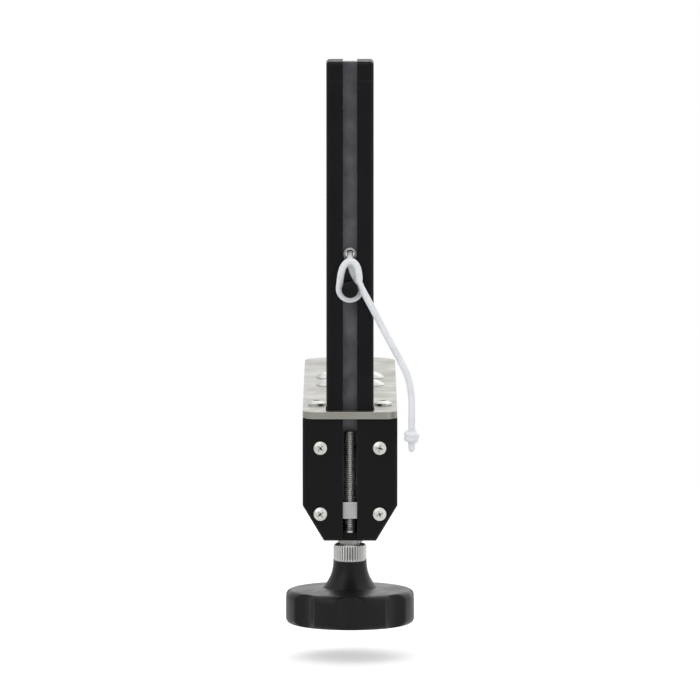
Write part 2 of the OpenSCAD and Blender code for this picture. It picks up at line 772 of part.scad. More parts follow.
function run_path() = let (lead_y = core_y0 - eyelet_flange_t) concat(
    [for (i = [0 : drop_steps]) let (s = i / drop_steps)
        [0, slot_y + (bend_y + bend_reach - slot_y) * s, plug_top + (eyelet_z + bend_reach - plug_top) * s]],
    [for (i = [1 : bend_steps]) let (a = -90 * i / bend_steps)
        [0, bend_y + bend_reach * cos(a), eyelet_z + bend_reach + bend_reach * sin(a)]],
    [for (p = lead_points) [p[0], lead_y - p[1], eyelet_z - p[2]]],
    [for (i = [0 : wrap_steps]) wrap_at(wrap_round * i / wrap_steps)],
    [for (p = loop_points) [p[0], wrap_y(p[2]), peg_z + p[1]]],
    [wrap_at(wrap_sweep)]);

// Least gap between the run's own turns, measured on its points.
function least_gap(path, apart) = min([for (i = [0 : len(path) - 1 - apart], j = [i + apart : len(path) - 1])
    norm(path[j] - path[i])]) - 2 * cord_r;
echo(least_cord_gap = least_gap(concat(run_path(), tail_path()), wrap_steps / 2));

function tail_path() = concat([wrap_at(wrap_sweep)], [for (p = tail_points) [p[0], wrap_y1 - p[1], p[2]]]);

module cord_run() {
    color("#eceff0") tube(run_path(), cord_r, [0, 0, -1], tail_way);
}

module cord_tail() {
    color("#eceff0") tube(tail_path(), cord_r, tail_way, [0, 0, -1]);
}

module top_knot() {
    color("#eceff0") intersection() {
        translate([0, slot_y, knot_z]) sphere(knot_r);
        box([-knot_r, knot_r], [core_y1, slot_y + knot_r], [plug_top, knot_z + knot_r]);
    }
}

module tail_knot() {
    end = tail_path()[len(tail_points)];
    color("#cfd2d2") translate(end) intersection() {
        union() {
            translate([0, 0, tail_knot_rise - tail_knot_r]) sphere(tail_knot_r);
            rod(cord_r, -2 * tail_knot_r - tail_stub, -tail_knot_r);
        }
        box([-tail_knot_r, tail_knot_r], [-tail_knot_r, tail_knot_r], [-2 * tail_knot_r - tail_stub, 0]);
    }
}

// ---------- clamp screw, pressure plate and knob ----------

module pad_cup() {
    color("#9fa09c") difference() {
        union() {
            rod(plate_r, cup_z0, facing_z0 + cup_rim_h, screw_y);
            rod(cup_neck_r, cup_neck_z0, cup_z0, screw_y);
        }
        rod(plate_r - cup_rim_t, facing_z0, facing_z0 + cup_rim_h + over, screw_y);
        rod(tip_r + fit, cup_neck_z0 - over, cup_z0, screw_y);
        rod(tip_r + ring_out + fit, ring_z - ring_t / 2 - fit, ring_z + ring_t / 2 + fit, screw_y);
    }
}

module pad_facing() {
    color("#202124") rod(plate_r - cup_rim_t, facing_z0, facing_z1, screw_y);
}

module pad_ring() {
    color("#5c5d5b") difference() {
        rod(tip_r + ring_out, ring_z - ring_t / 2, ring_z + ring_t / 2, screw_y);
        rod(tip_r - ring_bite + fit, ring_z - ring_t, ring_z + ring_t, screw_y);
    }
}

module clamp_screw() {
    shoulder = cup_neck_z0 - part_gap;
    color("#c9cac6") difference() {
        union() {
            rod(screw_r, screw_z0, shoulder, screw_y);
            rod(tip_r, shoulder, cup_z0 - part_gap, screw_y);
        }
        difference() {
            rod(tip_r + over, ring_z - ring_t / 2 - fit, ring_z + ring_t / 2 + fit, screw_y);
            rod(tip_r - ring_bite, ring_z - ring_t, ring_z + ring_t, screw_y);
        }
        rod_x(knob_pin_r, knob_r, screw_y, knob_pin_z);
    }
}

// The neck swells from its top to its foot in a hollow curve.
function neck_curve(steps = 8) = [for (i = [0 : steps]) let (s = i / steps)
    [neck_r + (hub_r - neck_r) * pow(s, neck_power), knob_z1 - knob_neck_h * s]];

// Half section of the knob, from its top at the bore round to the hub's foot.
function knob_section() = concat(
    [[screw_r, knob_z1]],
    neck_curve(),
    arc([knob_r - rim_round, rim_z1 - deck_fall - rim_round], rim_round, 90, 0, 6),
    arc([knob_r - rim_round, knob_z0 + rim_round], rim_round, 0, -90, 6),
    [[knob_r - rim_wall, knob_z0], [knob_r - rim_wall, rim_z1 - rim_deck - deck_fall],
        [hub_r, rim_z1 - rim_deck], [hub_r - hub_draft, knob_z0 + cap_disc_h],
        [screw_r, knob_z0 + cap_disc_h]]);

module knob() {
    pitch = 360 / scallops;
    color("#151618") translate([0, screw_y, 0]) difference() {
        union() {
            rotate_extrude() polygon(knob_section());
            for (i = [0 : scallops - 1]) rotate([0, 0, pitch * (i + 0.5)])
                box([hub_r - rib_bite, knob_r - rim_wall + rib_bite], [-rib_wall / 2, rib_wall / 2],
                    [knob_z0 + cap_disc_h + rib_foot, rim_z1 - rim_deck]);
        }
        for (i = [0 : scallops - 1]) rotate([0, 0, pitch * i])
            rod(scallop_r, knob_z0 - over, rim_z1, 0, knob_r + scallop_r - scallop_h);
        rod_x(knob_pin_r, knob_r / 2, 0, knob_pin_z);
    }
}

module knob_cap() {
    color("#2a2b2d") {
        rod(cap_disc_r, knob_z0, knob_z0 + cap_disc_h, screw_y);
        rod(screw_r, knob_z0 + cap_disc_h, knob_z0 + cap_disc_h + cap_stem_h, screw_y);
    }
}

module knob_pin() {
    color("#c4c6c2") rod_x(knob_pin_r, knob_pin_half, screw_y, knob_pin_z);
}

arm_plate();
upper_pad();
jaw_frame();
edge_pad();
screw_bush();
frame_rivets();
post_socket();
rail(-1);  // rail_left
rail(1);  // rail_right
rail_screws();
socket_bolts();
spindle_washer();
height_spindle();
thumb_wheel();
spindle_clip();
bar(-1);  // bar_left
bar(1);  // bar_right
post_core();
post_pins();
lift_nut();
nut_screws();
top_cap();
cord_peg();
cord_eyelet();
cord_run();
cord_tail();
top_knot();
tail_knot();
pad_cup();
pad_facing();
pad_ring();
clamp_screw();
knob();
knob_cap();
knob_pin();
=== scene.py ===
"""Looks of a table tennis net clamp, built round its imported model.

The frame holds every rigid piece at its real size. This script breaks the edges of those pieces, gives
each one its finish, and adds what the frame leaves out: threads, screw heads, rivets, the knurl, the
knob's scallops and the braid of the net cord. All sizes are in metres, in the frame's own axes:
+X along the table's edge, +Y over the board, +Z up, with the origin at the board's top corner.
"""

from __future__ import annotations

import functools
import logging
import math
from dataclasses import dataclass, field, replace
from enum import Enum

import bmesh
import bpy
import numpy as np
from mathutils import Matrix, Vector


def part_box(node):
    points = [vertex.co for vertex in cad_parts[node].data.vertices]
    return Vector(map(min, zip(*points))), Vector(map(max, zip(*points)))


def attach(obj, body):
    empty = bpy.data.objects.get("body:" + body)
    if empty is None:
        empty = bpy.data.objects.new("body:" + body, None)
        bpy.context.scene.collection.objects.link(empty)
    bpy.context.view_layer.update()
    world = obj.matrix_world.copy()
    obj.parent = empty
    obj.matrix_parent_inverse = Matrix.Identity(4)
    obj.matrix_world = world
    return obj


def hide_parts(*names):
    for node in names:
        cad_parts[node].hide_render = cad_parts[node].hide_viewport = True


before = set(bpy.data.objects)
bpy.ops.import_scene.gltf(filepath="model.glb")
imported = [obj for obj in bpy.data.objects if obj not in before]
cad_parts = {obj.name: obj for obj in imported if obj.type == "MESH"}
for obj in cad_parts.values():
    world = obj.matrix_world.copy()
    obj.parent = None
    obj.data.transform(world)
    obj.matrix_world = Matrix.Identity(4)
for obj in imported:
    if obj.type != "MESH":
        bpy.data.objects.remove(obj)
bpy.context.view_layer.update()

MM = 0.001
LOG = logging.getLogger("net_clamp")
TURN = 2 * math.pi
WELD = 0.002 * MM
FLAT_ANGLE = math.radians(0.8)
SHARP_ANGLE = math.radians(32)
VOLUME_KEPT = (0.9, 1.001)

Colour = tuple[float, float, float]
Point = tuple[float, float, float]
Pair = tuple[float, float]
Socket = bpy.types.NodeSocket
Piece = bpy.types.Object
Value = "Socket | float"


# ---------------------------------------------------------------- nodes and finishes


class NodeKit:
    """A short way to add and join the nodes of one tree."""

    def __init__(self, tree: bpy.types.NodeTree) -> None:
        """Starts on a tree that exists already."""
        self.nodes, self.links = tree.nodes, tree.links

    def add(self, kind: str, inputs: dict | None = None, **settings: object) -> bpy.types.Node:
        """Adds one node.

        Args:
            kind: the node's type name.
            inputs: socket name or number to a value, to another node's output, or to a list of those.
            settings: the node's own properties.

        Returns:
            The new node.
        """
        node = self.nodes.new(kind)
        for name, value in settings.items():
            setattr(node, name, value)
        for key, value in (inputs or {}).items():
            for one in value if isinstance(value, list) else [value]:
                if isinstance(one, Socket):
                    self.links.new(one, node.inputs[key])
                else:
                    node.inputs[key].default_value = one
        return node

    def sum(self, operation: str, first: Value, second: Value = 0.0, third: Value = 0.0) -> Socket:
        """The result of one Math node."""
        return self.add("ShaderNodeMath", {0: first, 1: second, 2: third}, operation=operation).outputs[0]

    def times(self, first: Value, second: Value) -> Socket:
        """The product of two values."""
        return self.sum("MULTIPLY", first, second)

    def minus(self, first: Value, second: Value) -> Socket:
        """The first value less the second."""
        return self.sum("SUBTRACT", first, second)

    def between(self, value: Socket, low: float, high: float, to: Pair = (0, 1)) -> Socket:
        """Maps value from low..high to the two numbers of to, and stops there."""
        return self.add("ShaderNodeMapRange", {0: value, 1: low, 2: high, 3: to[0], 4: to[1]}).outputs[0]

    def background_rays(self) -> Socket:
        """1 for a ray that shows the background, in the camera or in metal or glass, and 0 for light."""
        path = self.add("ShaderNodeLightPath").outputs
        seen = self.sum("MAXIMUM", path["Is Camera Ray"], path["Is Glossy Ray"])
        return self.sum("MAXIMUM", seen, path["Is Transmission Ray"])


class Shader(NodeKit):
    """The nodes of one material."""

    edge_dot: Pair = (0.995, 0.88)
    edge_air: Pair = (0.75, 0.95)
    air_reach: float = 4

    def __init__(self, name: str, colour: Colour, roughness: float, metallic: float) -> None:
        """Starts a material with a Principled surface.

        Args:
            name: the material's name.
            colour: base colour, linear.
            roughness: roughness from 0 to 1.
            metallic: 1 for bare metal, 0 for paint, plastic, rubber and yarn.
        """
        self.material = bpy.data.materials.new(name)
        self.material.use_nodes = True
        super().__init__(self.material.node_tree)
        self.surface = self.nodes["Principled BSDF"]
        self.fixed(Base_Color=(*colour, 1), Roughness=roughness, Metallic=metallic)
        self.place = self.add("ShaderNodeTexCoord").outputs["Object"]

    def noise(self, size: float, detail: float = 3, stretch: Point = (1, 1, 1)) -> Socket:
        """Noise whose patches are about size wide, drawn out by stretch.

        Args:
            size: width of a patch in metres.
            detail: octaves of finer noise.
            stretch: how much longer a patch is along each axis.

        Returns:
            A value from 0 to 1.
        """
        scale = tuple(1 / (size * s) for s in stretch)
        place = self.add("ShaderNodeMapping", {"Vector": self.place, "Scale": scale})
        noise = self.add("ShaderNodeTexNoise", {"Vector": place.outputs[0], "Scale": 1, "Detail": detail})
        return noise.outputs[0]

    def blend(self, share: Socket, first: object, second: object) -> Socket:
        """Mixes two colours.

        Args:
            share: 0 for the first colour and 1 for the second.
            first: a colour, or a socket that holds one.
            second: a colour, or a socket that holds one.

        Returns:
            The mixed colour's socket.
        """
        first, second = (c if isinstance(c, Socket) else (*c, 1) for c in (first, second))
        return self.add("ShaderNodeMix", {0: share, 6: first, 7: second}, data_type="RGBA").outputs[2]

    def edges(self, reach: float) -> Socket:
        """A value that is 1 on edges that stand out, and 0 on flats and in inner corners.

        Args:
            reach: how far from the edge the value shows, in metres.

        Returns:
            A value from 0 to 1.
        """
        round_normal = self.add("ShaderNodeBevel", {"Radius": reach}, samples=4).outputs[0]
        true_normal = self.add("ShaderNodeNewGeometry").outputs["Normal"]
        dot = self.add("ShaderNodeVectorMath", {0: round_normal, 1: true_normal}, operation="DOT_PRODUCT")
        air = self.add("ShaderNodeAmbientOcclusion", {"Distance": self.air_reach * reach}, samples=4)
        turn = self.between(dot.outputs["Value"], *self.edge_dot)
        return self.times(turn, self.between(air.outputs["AO"], *self.edge_air))

    def bump(self, height: Socket, depth: float, strength: float = 1) -> None:
        """Raises the surface by height, at most depth metres."""
        bump = self.add("ShaderNodeBump", {"Height": height, "Distance": depth, "Strength": strength})
        self.links.new(bump.outputs[0], self.surface.inputs["Normal"])

    def use(self, socket: str, value: Socket) -> None:
        """Joins a value to one of the surface's sockets."""
        self.links.new(value, self.surface.inputs[socket])

    def fixed(self, **values: float | tuple) -> None:
        """Sets constant sockets of the surface, with _ for each space in a socket's name."""
        for name, value in values.items():
            self.surface.inputs[name.replace("_", " ")].default_value = value


@dataclass(frozen=True)
class Finish:
    """A surface finish. slot is the record's material slot that it belongs to.

    metallic is 1 for bare metal. It has no type, so that it belongs to the kind of finish and is no field.
    """

    name: str
    slot: str
    colour: Colour
    roughness: float
    metallic = 0

    def build(self) -> bpy.types.Material:
        """Makes the finish's material."""
        shader = Shader(self.name, self.colour, self.roughness, self.metallic)
        self.paint(shader)
        return shader.material

    def paint(self, shader: Shader) -> None:
        """Adds to a plain surface what makes the finish."""
        raise NotImplementedError


@dataclass(frozen=True)
class MouldedPlastic(Finish):
    """Black plastic with a fine spark-eroded grain and edges that hands have polished."""

    grain: float = 0.35 * MM
    grain_depth: float = 0.02 * MM
    patch: float = 9 * MM
    worn: Colour = (0.030, 0.030, 0.032)
    worn_reach: float = 0.5 * MM
    worn_patch: float = 4 * MM
    gloss: float = 0.10

    def paint(self, shader: Shader) -> None:
        """Makes the plastic: grain in the bump, patches in the gloss, paler worn edges."""
        shader.fixed(Specular_IOR_Level=self.gloss)
        patches = shader.noise(self.patch)
        wear = shader.between(shader.noise(self.worn_patch), 0.35, 0.65, (0.25, 0.9))
        rubbed = shader.times(shader.edges(self.worn_reach), wear)
        shader.use("Base Color", shader.blend(rubbed, self.colour, self.worn))
        shader.use("Roughness", shader.between(patches, 0.3, 0.7, (self.roughness - 0.07, self.roughness + 0.08)))
        shader.bump(shader.noise(self.grain, 2), self.grain_depth, 0.55)


@dataclass(frozen=True)
class PowderCoat(Finish):
    """Black powder coat on steel: a faint orange peel, and bare metal where edges have been knocked."""

    peel: float = 1.1 * MM
    peel_depth: float = 0.03 * MM
    dust_patch: float = 14 * MM
    chip: float = 2.5 * MM
    chip_reach: float = 0.4 * MM
    bare: Colour = (0.34, 0.34, 0.33)
    chipped: float = 0.35
    gloss: float = 0.10

    def paint(self, shader: Shader) -> None:
        """Makes the coat: peel in the bump, dust in the colour, chips along the edges."""
        shader.fixed(Specular_IOR_Level=self.gloss)
        knocks = shader.between(shader.noise(self.chip, 4), 0.56, 0.64)
        chips = shader.times(shader.times(shader.edges(self.chip_reach), knocks), self.chipped)
        dust = shader.between(shader.noise(self.dust_patch), 0.3, 0.8)
        dusty = tuple(1.6 * c + 0.001 for c in self.colour)
        shader.use("Base Color", shader.blend(chips, shader.blend(dust, self.colour, dusty), self.bare))
        shader.use("Metallic", chips)
        shader.use("Roughness", shader.between(dust, 0, 1, (self.roughness - 0.05, self.roughness + 0.08)))
        shader.bump(shader.noise(self.peel, 1), self.peel_depth, 0.4)


@dataclass(frozen=True)
class PlatedSteel(Finish):
    """Zinc-plated or bright steel, with drawn lines along one axis and cloudy patches."""

    along: Point = (1, 30, 1)
    line: float = 0.12 * MM
    cloud: Colour = (0.50, 0.49, 0.45)
    bright: Colour = (0.62, 0.62, 0.60)
    grip: float = 0.5
    patch: float = 7 * MM
    line_depth: float = 0.008 * MM
    bright_reach: float = 0.3 * MM
    metallic = 1

    def paint(self, shader: Shader) -> None:
        """Makes the metal: lines in the bump and gloss, clouds in the colour, bright edges."""
        lines = shader.noise(self.line, 3, self.along)
        clouds = shader.between(shader.noise(self.patch, 3), 0.3, 0.75)
        plain = self.ground(shader, shader.blend(clouds, self.colour, self.cloud))
        edges = shader.times(shader.edges(self.bright_reach), 0.7)
        shader.use("Base Color", shader.blend(edges, plain, self.bright))
        gloss = shader.sum("ADD", lines, clouds)
        shader.use("Roughness", shader.between(gloss, 0.5, 1.4, (self.roughness - 0.06, self.roughness + 0.12)))
        shader.bump(lines, self.line_depth, self.grip)

    def ground(self, shader: Shader, plain: Socket) -> Socket:
        """The metal's colour before its edges are brightened, which is the plain one here."""
        return plain


@dataclass(frozen=True)
class GroovedSteel(PlatedSteel):
    """Turned steel with a thread or knurl round a vertical axis, with painted shade darkening its grooves."""

    axis: Pair = (0, 0)
    crest: float = 6 * MM
    groove: float = 1 * MM
    # painted shade: the colour painted into the grooves, where shade falls
    painted_groove_shade: Colour = (0.075, 0.070, 0.062)

    def ground(self, shader: Shader, plain: Socket) -> Socket:
        """Paints shade onto the metal, darker the further it lies under the crests.

        Args:
            shader: the material's nodes.
            plain: the metal's plain colour.

        Returns:
            The colour with painted shade in the grooves.
        """
        flat = shader.add("ShaderNodeMapping", {"Vector": shader.place, "Scale": (1, 1, 0),
                                                "Location": (-self.axis[0], -self.axis[1], 0)})
        out = shader.add("ShaderNodeVectorMath", {0: flat.outputs[0]}, operation="LENGTH").outputs["Value"]
        # painted shade: 0.9 down in the grooves, fading to 0 towards the crests
        deep = shader.between(out, self.crest - self.groove, self.crest - 0.4 * self.groove, (0.9, 0))
        return shader.blend(deep, plain, self.painted_groove_shade)


@dataclass(frozen=True)
class PadRubber(Finish):
    """Matt black rubber with a sanded skin and grey dust in it."""

    dust: Colour = (0.07, 0.07, 0.068)
    dust_patch: float = 5 * MM
    pit: float = 0.25 * MM
    pit_depth: float = 0.03 * MM

    def paint(self, shader: Shader) -> None:
        """Makes the rubber: fine pits in the bump and patches of dust."""
        shader.fixed(Specular_IOR_Level=0.25)
        dusty = shader.between(shader.noise(self.dust_patch, 5), 0.45, 0.75, (0, 0.7))
        shader.use("Base Color", shader.blend(dusty, self.colour, self.dust))
        shader.bump(shader.noise(self.pit, 3), self.pit_depth, 0.8)


@dataclass(frozen=True)
class BraidYarn(Finish):
    """White polyester yarn. The braid's own attribute says how deep each strand lies, and the yarn is painted in
    shade where it lies deep.
    """

    # painted shade for the hollows between strands, and the colour of the yarn's soil patches too
    shade_and_soil: Colour = (0.46, 0.48, 0.52)
    depth_name: str = "depth"
    soil_patch: float = 6 * MM
    filament: float = 0.09 * MM
    filament_depth: float = 0.02 * MM

    def paint(self, shader: Shader) -> None:
        """Makes the yarn: filaments in the bump, painted shade in the hollows between strands mixed with patches
        of soil, a soft sheen.
        """
        shader.fixed(Specular_IOR_Level=0.3, Sheen_Weight=0.35, Sheen_Roughness=0.5)
        depth = shader.add("ShaderNodeAttribute", attribute_name=self.depth_name).outputs["Fac"]
        soil = shader.between(shader.noise(self.soil_patch), 0.45, 0.8, (0, 0.25))
        # painted shade: 1 where a strand lies deepest, 0 on the top of the braid
        hollow = shader.between(depth, 0.0, 0.75, (1, 0))
        shade_and_soil = shader.sum("MAXIMUM", hollow, soil)
        shader.use("Base Color", shader.blend(shade_and_soil, self.colour, self.shade_and_soil))
        shader.bump(shader.noise(self.filament, 2), self.filament_depth, 0.5)


@functools.cache
def material_of(finish: Finish) -> bpy.types.Material:
    """The finish's material, made once."""
    return finish.build()


BLOCK_BLACK = MouldedPlastic("moulded_black", "black_plastic", (0.0052, 0.0052, 0.0056), 0.44)
KNOB_BLACK = MouldedPlastic("knob_black", "black_plastic", (0.0055, 0.0055, 0.0055), 0.36, 0.45 * MM,
                            gloss=0.17)
BAR_BLACK = PowderCoat("bar_coat", "black_bar", (0.0042, 0.0042, 0.0052), 0.36, 0.7 * MM, chipped=0.2)
FRAME_BLACK = PowderCoat("frame_coat", "black_steel", (0.0060, 0.0060, 0.0066), 0.42, gloss=0.26)
ZINC_SHEET = PlatedSteel("zinc_sheet", "zinc_plate", (0.270, 0.266, 0.240), 0.36, cloud=(0.225, 0.218, 0.186),
                         patch=13 * MM)
CORE_GREY = PlatedSteel("core_strip", "grey_core", (0.110, 0.110, 0.120), 0.42, (1, 1, 40),
                        cloud=(0.085, 0.085, 0.093), bright=(0.22, 0.22, 0.23))
BRIGHT_STEEL = PlatedSteel("bright_steel", "plated_steel", (0.52, 0.52, 0.50), 0.34, (1, 1, 1),
                           cloud=(0.43, 0.43, 0.41), grip=0.25)
TURNED_STEEL = PlatedSteel("turned_steel", "plated_steel", (0.44, 0.44, 0.43), 0.28, (12, 12, 1),
                           cloud=(0.35, 0.35, 0.34), grip=0.4)
GROOVED_STEEL = GroovedSteel("grooved_steel", "plated_steel", (0.46, 0.46, 0.45), 0.26, (12, 12, 1),
                             cloud=(0.38, 0.38, 0.37), grip=0.4)
# spindle thread: paler steel, with lighter painted shade in its roots
SPINDLE_STEEL = replace(GROOVED_STEEL, colour=(0.60, 0.60, 0.58), cloud=(0.52, 0.52, 0.50), roughness=0.42,
                        painted_groove_shade=(0.26, 0.26, 0.25))
SPRING_DARK = PlatedSteel("spring_steel", "spring_steel", (0.17, 0.17, 0.175), 0.34, (1, 1, 1),
                          cloud=(0.12, 0.12, 0.12), bright=(0.3, 0.3, 0.3))
RUBBER = PadRubber("pad_rubber", "rubber", (0.020, 0.020, 0.021), 0.78)
WHITE_YARN = BraidYarn("white_yarn", "white_cord", (0.86, 0.88, 0.90), 0.72)


# ---------------------------------------------------------------- meshes


def mesh_piece(name: str, points: object, faces: list, finish: Finish) -> Piece:
    """Makes an object at the origin from points and faces.

    Args:
        name: the piece's name.
        points: corners in metres, in the frame's axes.
        faces: lists of corner numbers, turning anticlockwise as seen from outside.
        finish: the piece's finish.

    Returns:
        The new object.
    """
    mesh = bpy.data.meshes.new(name)
    mesh.from_pydata([tuple(p) for p in points], [], faces)
    return shown(name, mesh, finish)


def placed(name: str, data: bpy.types.ID) -> Piece:
    """A new object in the scene that holds data."""
    piece = bpy.data.objects.new(name, data)
    bpy.context.scene.collection.objects.link(piece)
    return piece


def shown(name: str, mesh: bpy.types.Mesh, finish: Finish, crease: float = 40) -> Piece:
    """Puts a mesh into the scene, smooth but for creases sharper than crease degrees."""
    mesh.materials.clear()
    mesh.materials.append(material_of(finish))
    mesh.polygons.foreach_set("use_smooth", [True] * len(mesh.polygons))
    mesh.set_sharp_from_angle(angle=math.radians(crease))
    return placed(name, mesh)


def seat(piece: Piece, body: str, finish: Finish, *nodes: str) -> Piece:
    """Makes a piece ride on a body, in place of some CAD nodes.

    Args:
        piece: the finished piece.
        body: the body that it moves with.
        finish: not used.
        nodes: the CAD nodes that it stands for.

    Returns:
        The piece.
    """
    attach(piece, body)
    if nodes:
        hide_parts(*nodes)
    LOG.info("%s rides on %s, for %s, with %d faces", piece.name, body, nodes, len(piece.data.polygons))
    return piece


def turned(name: str, outline: list[Pair], centre: Pair, finish: Finish,
           steps: int = 96) -> Piece:
    """Turns an outline round a vertical axis into a closed piece.

    Args:
        name: the piece's name.
        outline: (radius, height) pairs, from the bottom's middle round the outside to the top's middle.
        centre: x and y of the axis.
        finish: the piece's finish.
        steps: points round the axis.

    Returns:
        The new object.
    """
    angles = np.arange(steps) * TURN / steps
    rings = [(r, z) for r, z in outline if r > 0]
    points = [(centre[0] + r * c, centre[1] + r * s, z)
              for r, z in rings for c, s in zip(np.cos(angles), np.sin(angles))]
    faces = []
    for ring in range(len(rings) - 1):
        for i in range(steps):
            j = (i + 1) % steps
            low, high = ring * steps, (ring + 1) * steps
            faces.append((low + i, low + j, high + j, high + i))
    bottom, top = len(points), len(points) + 1
    points += [(*centre, outline[0][1]), (*centre, outline[-1][1])]
    last = (len(rings) - 1) * steps
    faces += [(bottom, (i + 1) % steps, i) for i in range(steps)]
    faces += [(top, last + i, last + (i + 1) % steps) for i in range(steps)]
    return mesh_piece(name, points, faces, finish)


def arc(centre: Pair, radius: float, first: float, last: float, steps: int = 6
        ) -> list[Pair]:
    """Points on an arc, with its first and last angles in degrees."""
    angles = [math.radians(first + (last - first) * i / steps) for i in range(steps + 1)]
    return [(centre[0] + radius * math.cos(a), centre[1] + radius * math.sin(a)) for a in angles]


def softened(node: str, finish: Finish, edge: float = 0.4 * MM) -> Piece:
    """Copies a CAD node with its sharp edges broken.

    Args:
        node: the CAD node's name.
        finish: the copy's finish.
        edge: width of the broken edge.

    Returns:
        The copy, which keeps the node's place and outer size.
    """
    body = bmesh.new()
    body.from_mesh(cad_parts[node].data)
    bmesh.ops.remove_doubles(body, verts=body.verts, dist=WELD)
    bmesh.ops.dissolve_limit(body, angle_limit=FLAT_ANGLE, verts=body.verts, edges=body.edges)
    volume = body.calc_volume()
    body.edges.index_update()
    sharp = [e.index for e in body.edges if e.is_manifold and e.calc_face_angle(0) > SHARP_ANGLE]
    broken = body.copy()
    broken.edges.ensure_lookup_table()
    picked = [broken.edges[i] for i in sharp]
    bmesh.ops.bevel(broken, geom=picked, offset=edge, offset_type="OFFSET", segments=2, profile=0.6,
                    affect="EDGES", clamp_overlap=True)
    kept = broken if VOLUME_KEPT[0] < broken.calc_volume() / volume < VOLUME_KEPT[1] else body
    if kept is body:
        LOG.warning("%s keeps its sharp edges", node)
    mesh = bpy.data.meshes.new(node)
    kept.to_mesh(mesh)
    body.free()
    broken.free()
    piece = shown(f"{node}_finished", mesh, finish, 50)
    piece.modifiers.new("flat_faces_stay_flat", "WEIGHTED_NORMAL").keep_sharp = True
    return piece


def dress(body: str, finish: Finish, edge: float, *nodes: str) -> None:
    """Breaks the edges of CAD nodes and gives them a finish, each in its own place on a body.

    Args:
        body: the body that the pieces move with.
        finish: their finish.
        edge: width of the broken edges.
        nodes: the CAD nodes.
    """
    for node in nodes:
        seat(softened(node, finish, edge), body, finish, node)


def axis_of(low: Vector, high: Vector) -> Pair:
    """The x and y of the upright line through the middle of a box."""
    return (low.x + high.x) / 2, (low.y + high.y) / 2


# ---------------------------------------------------------------- geometry node trees


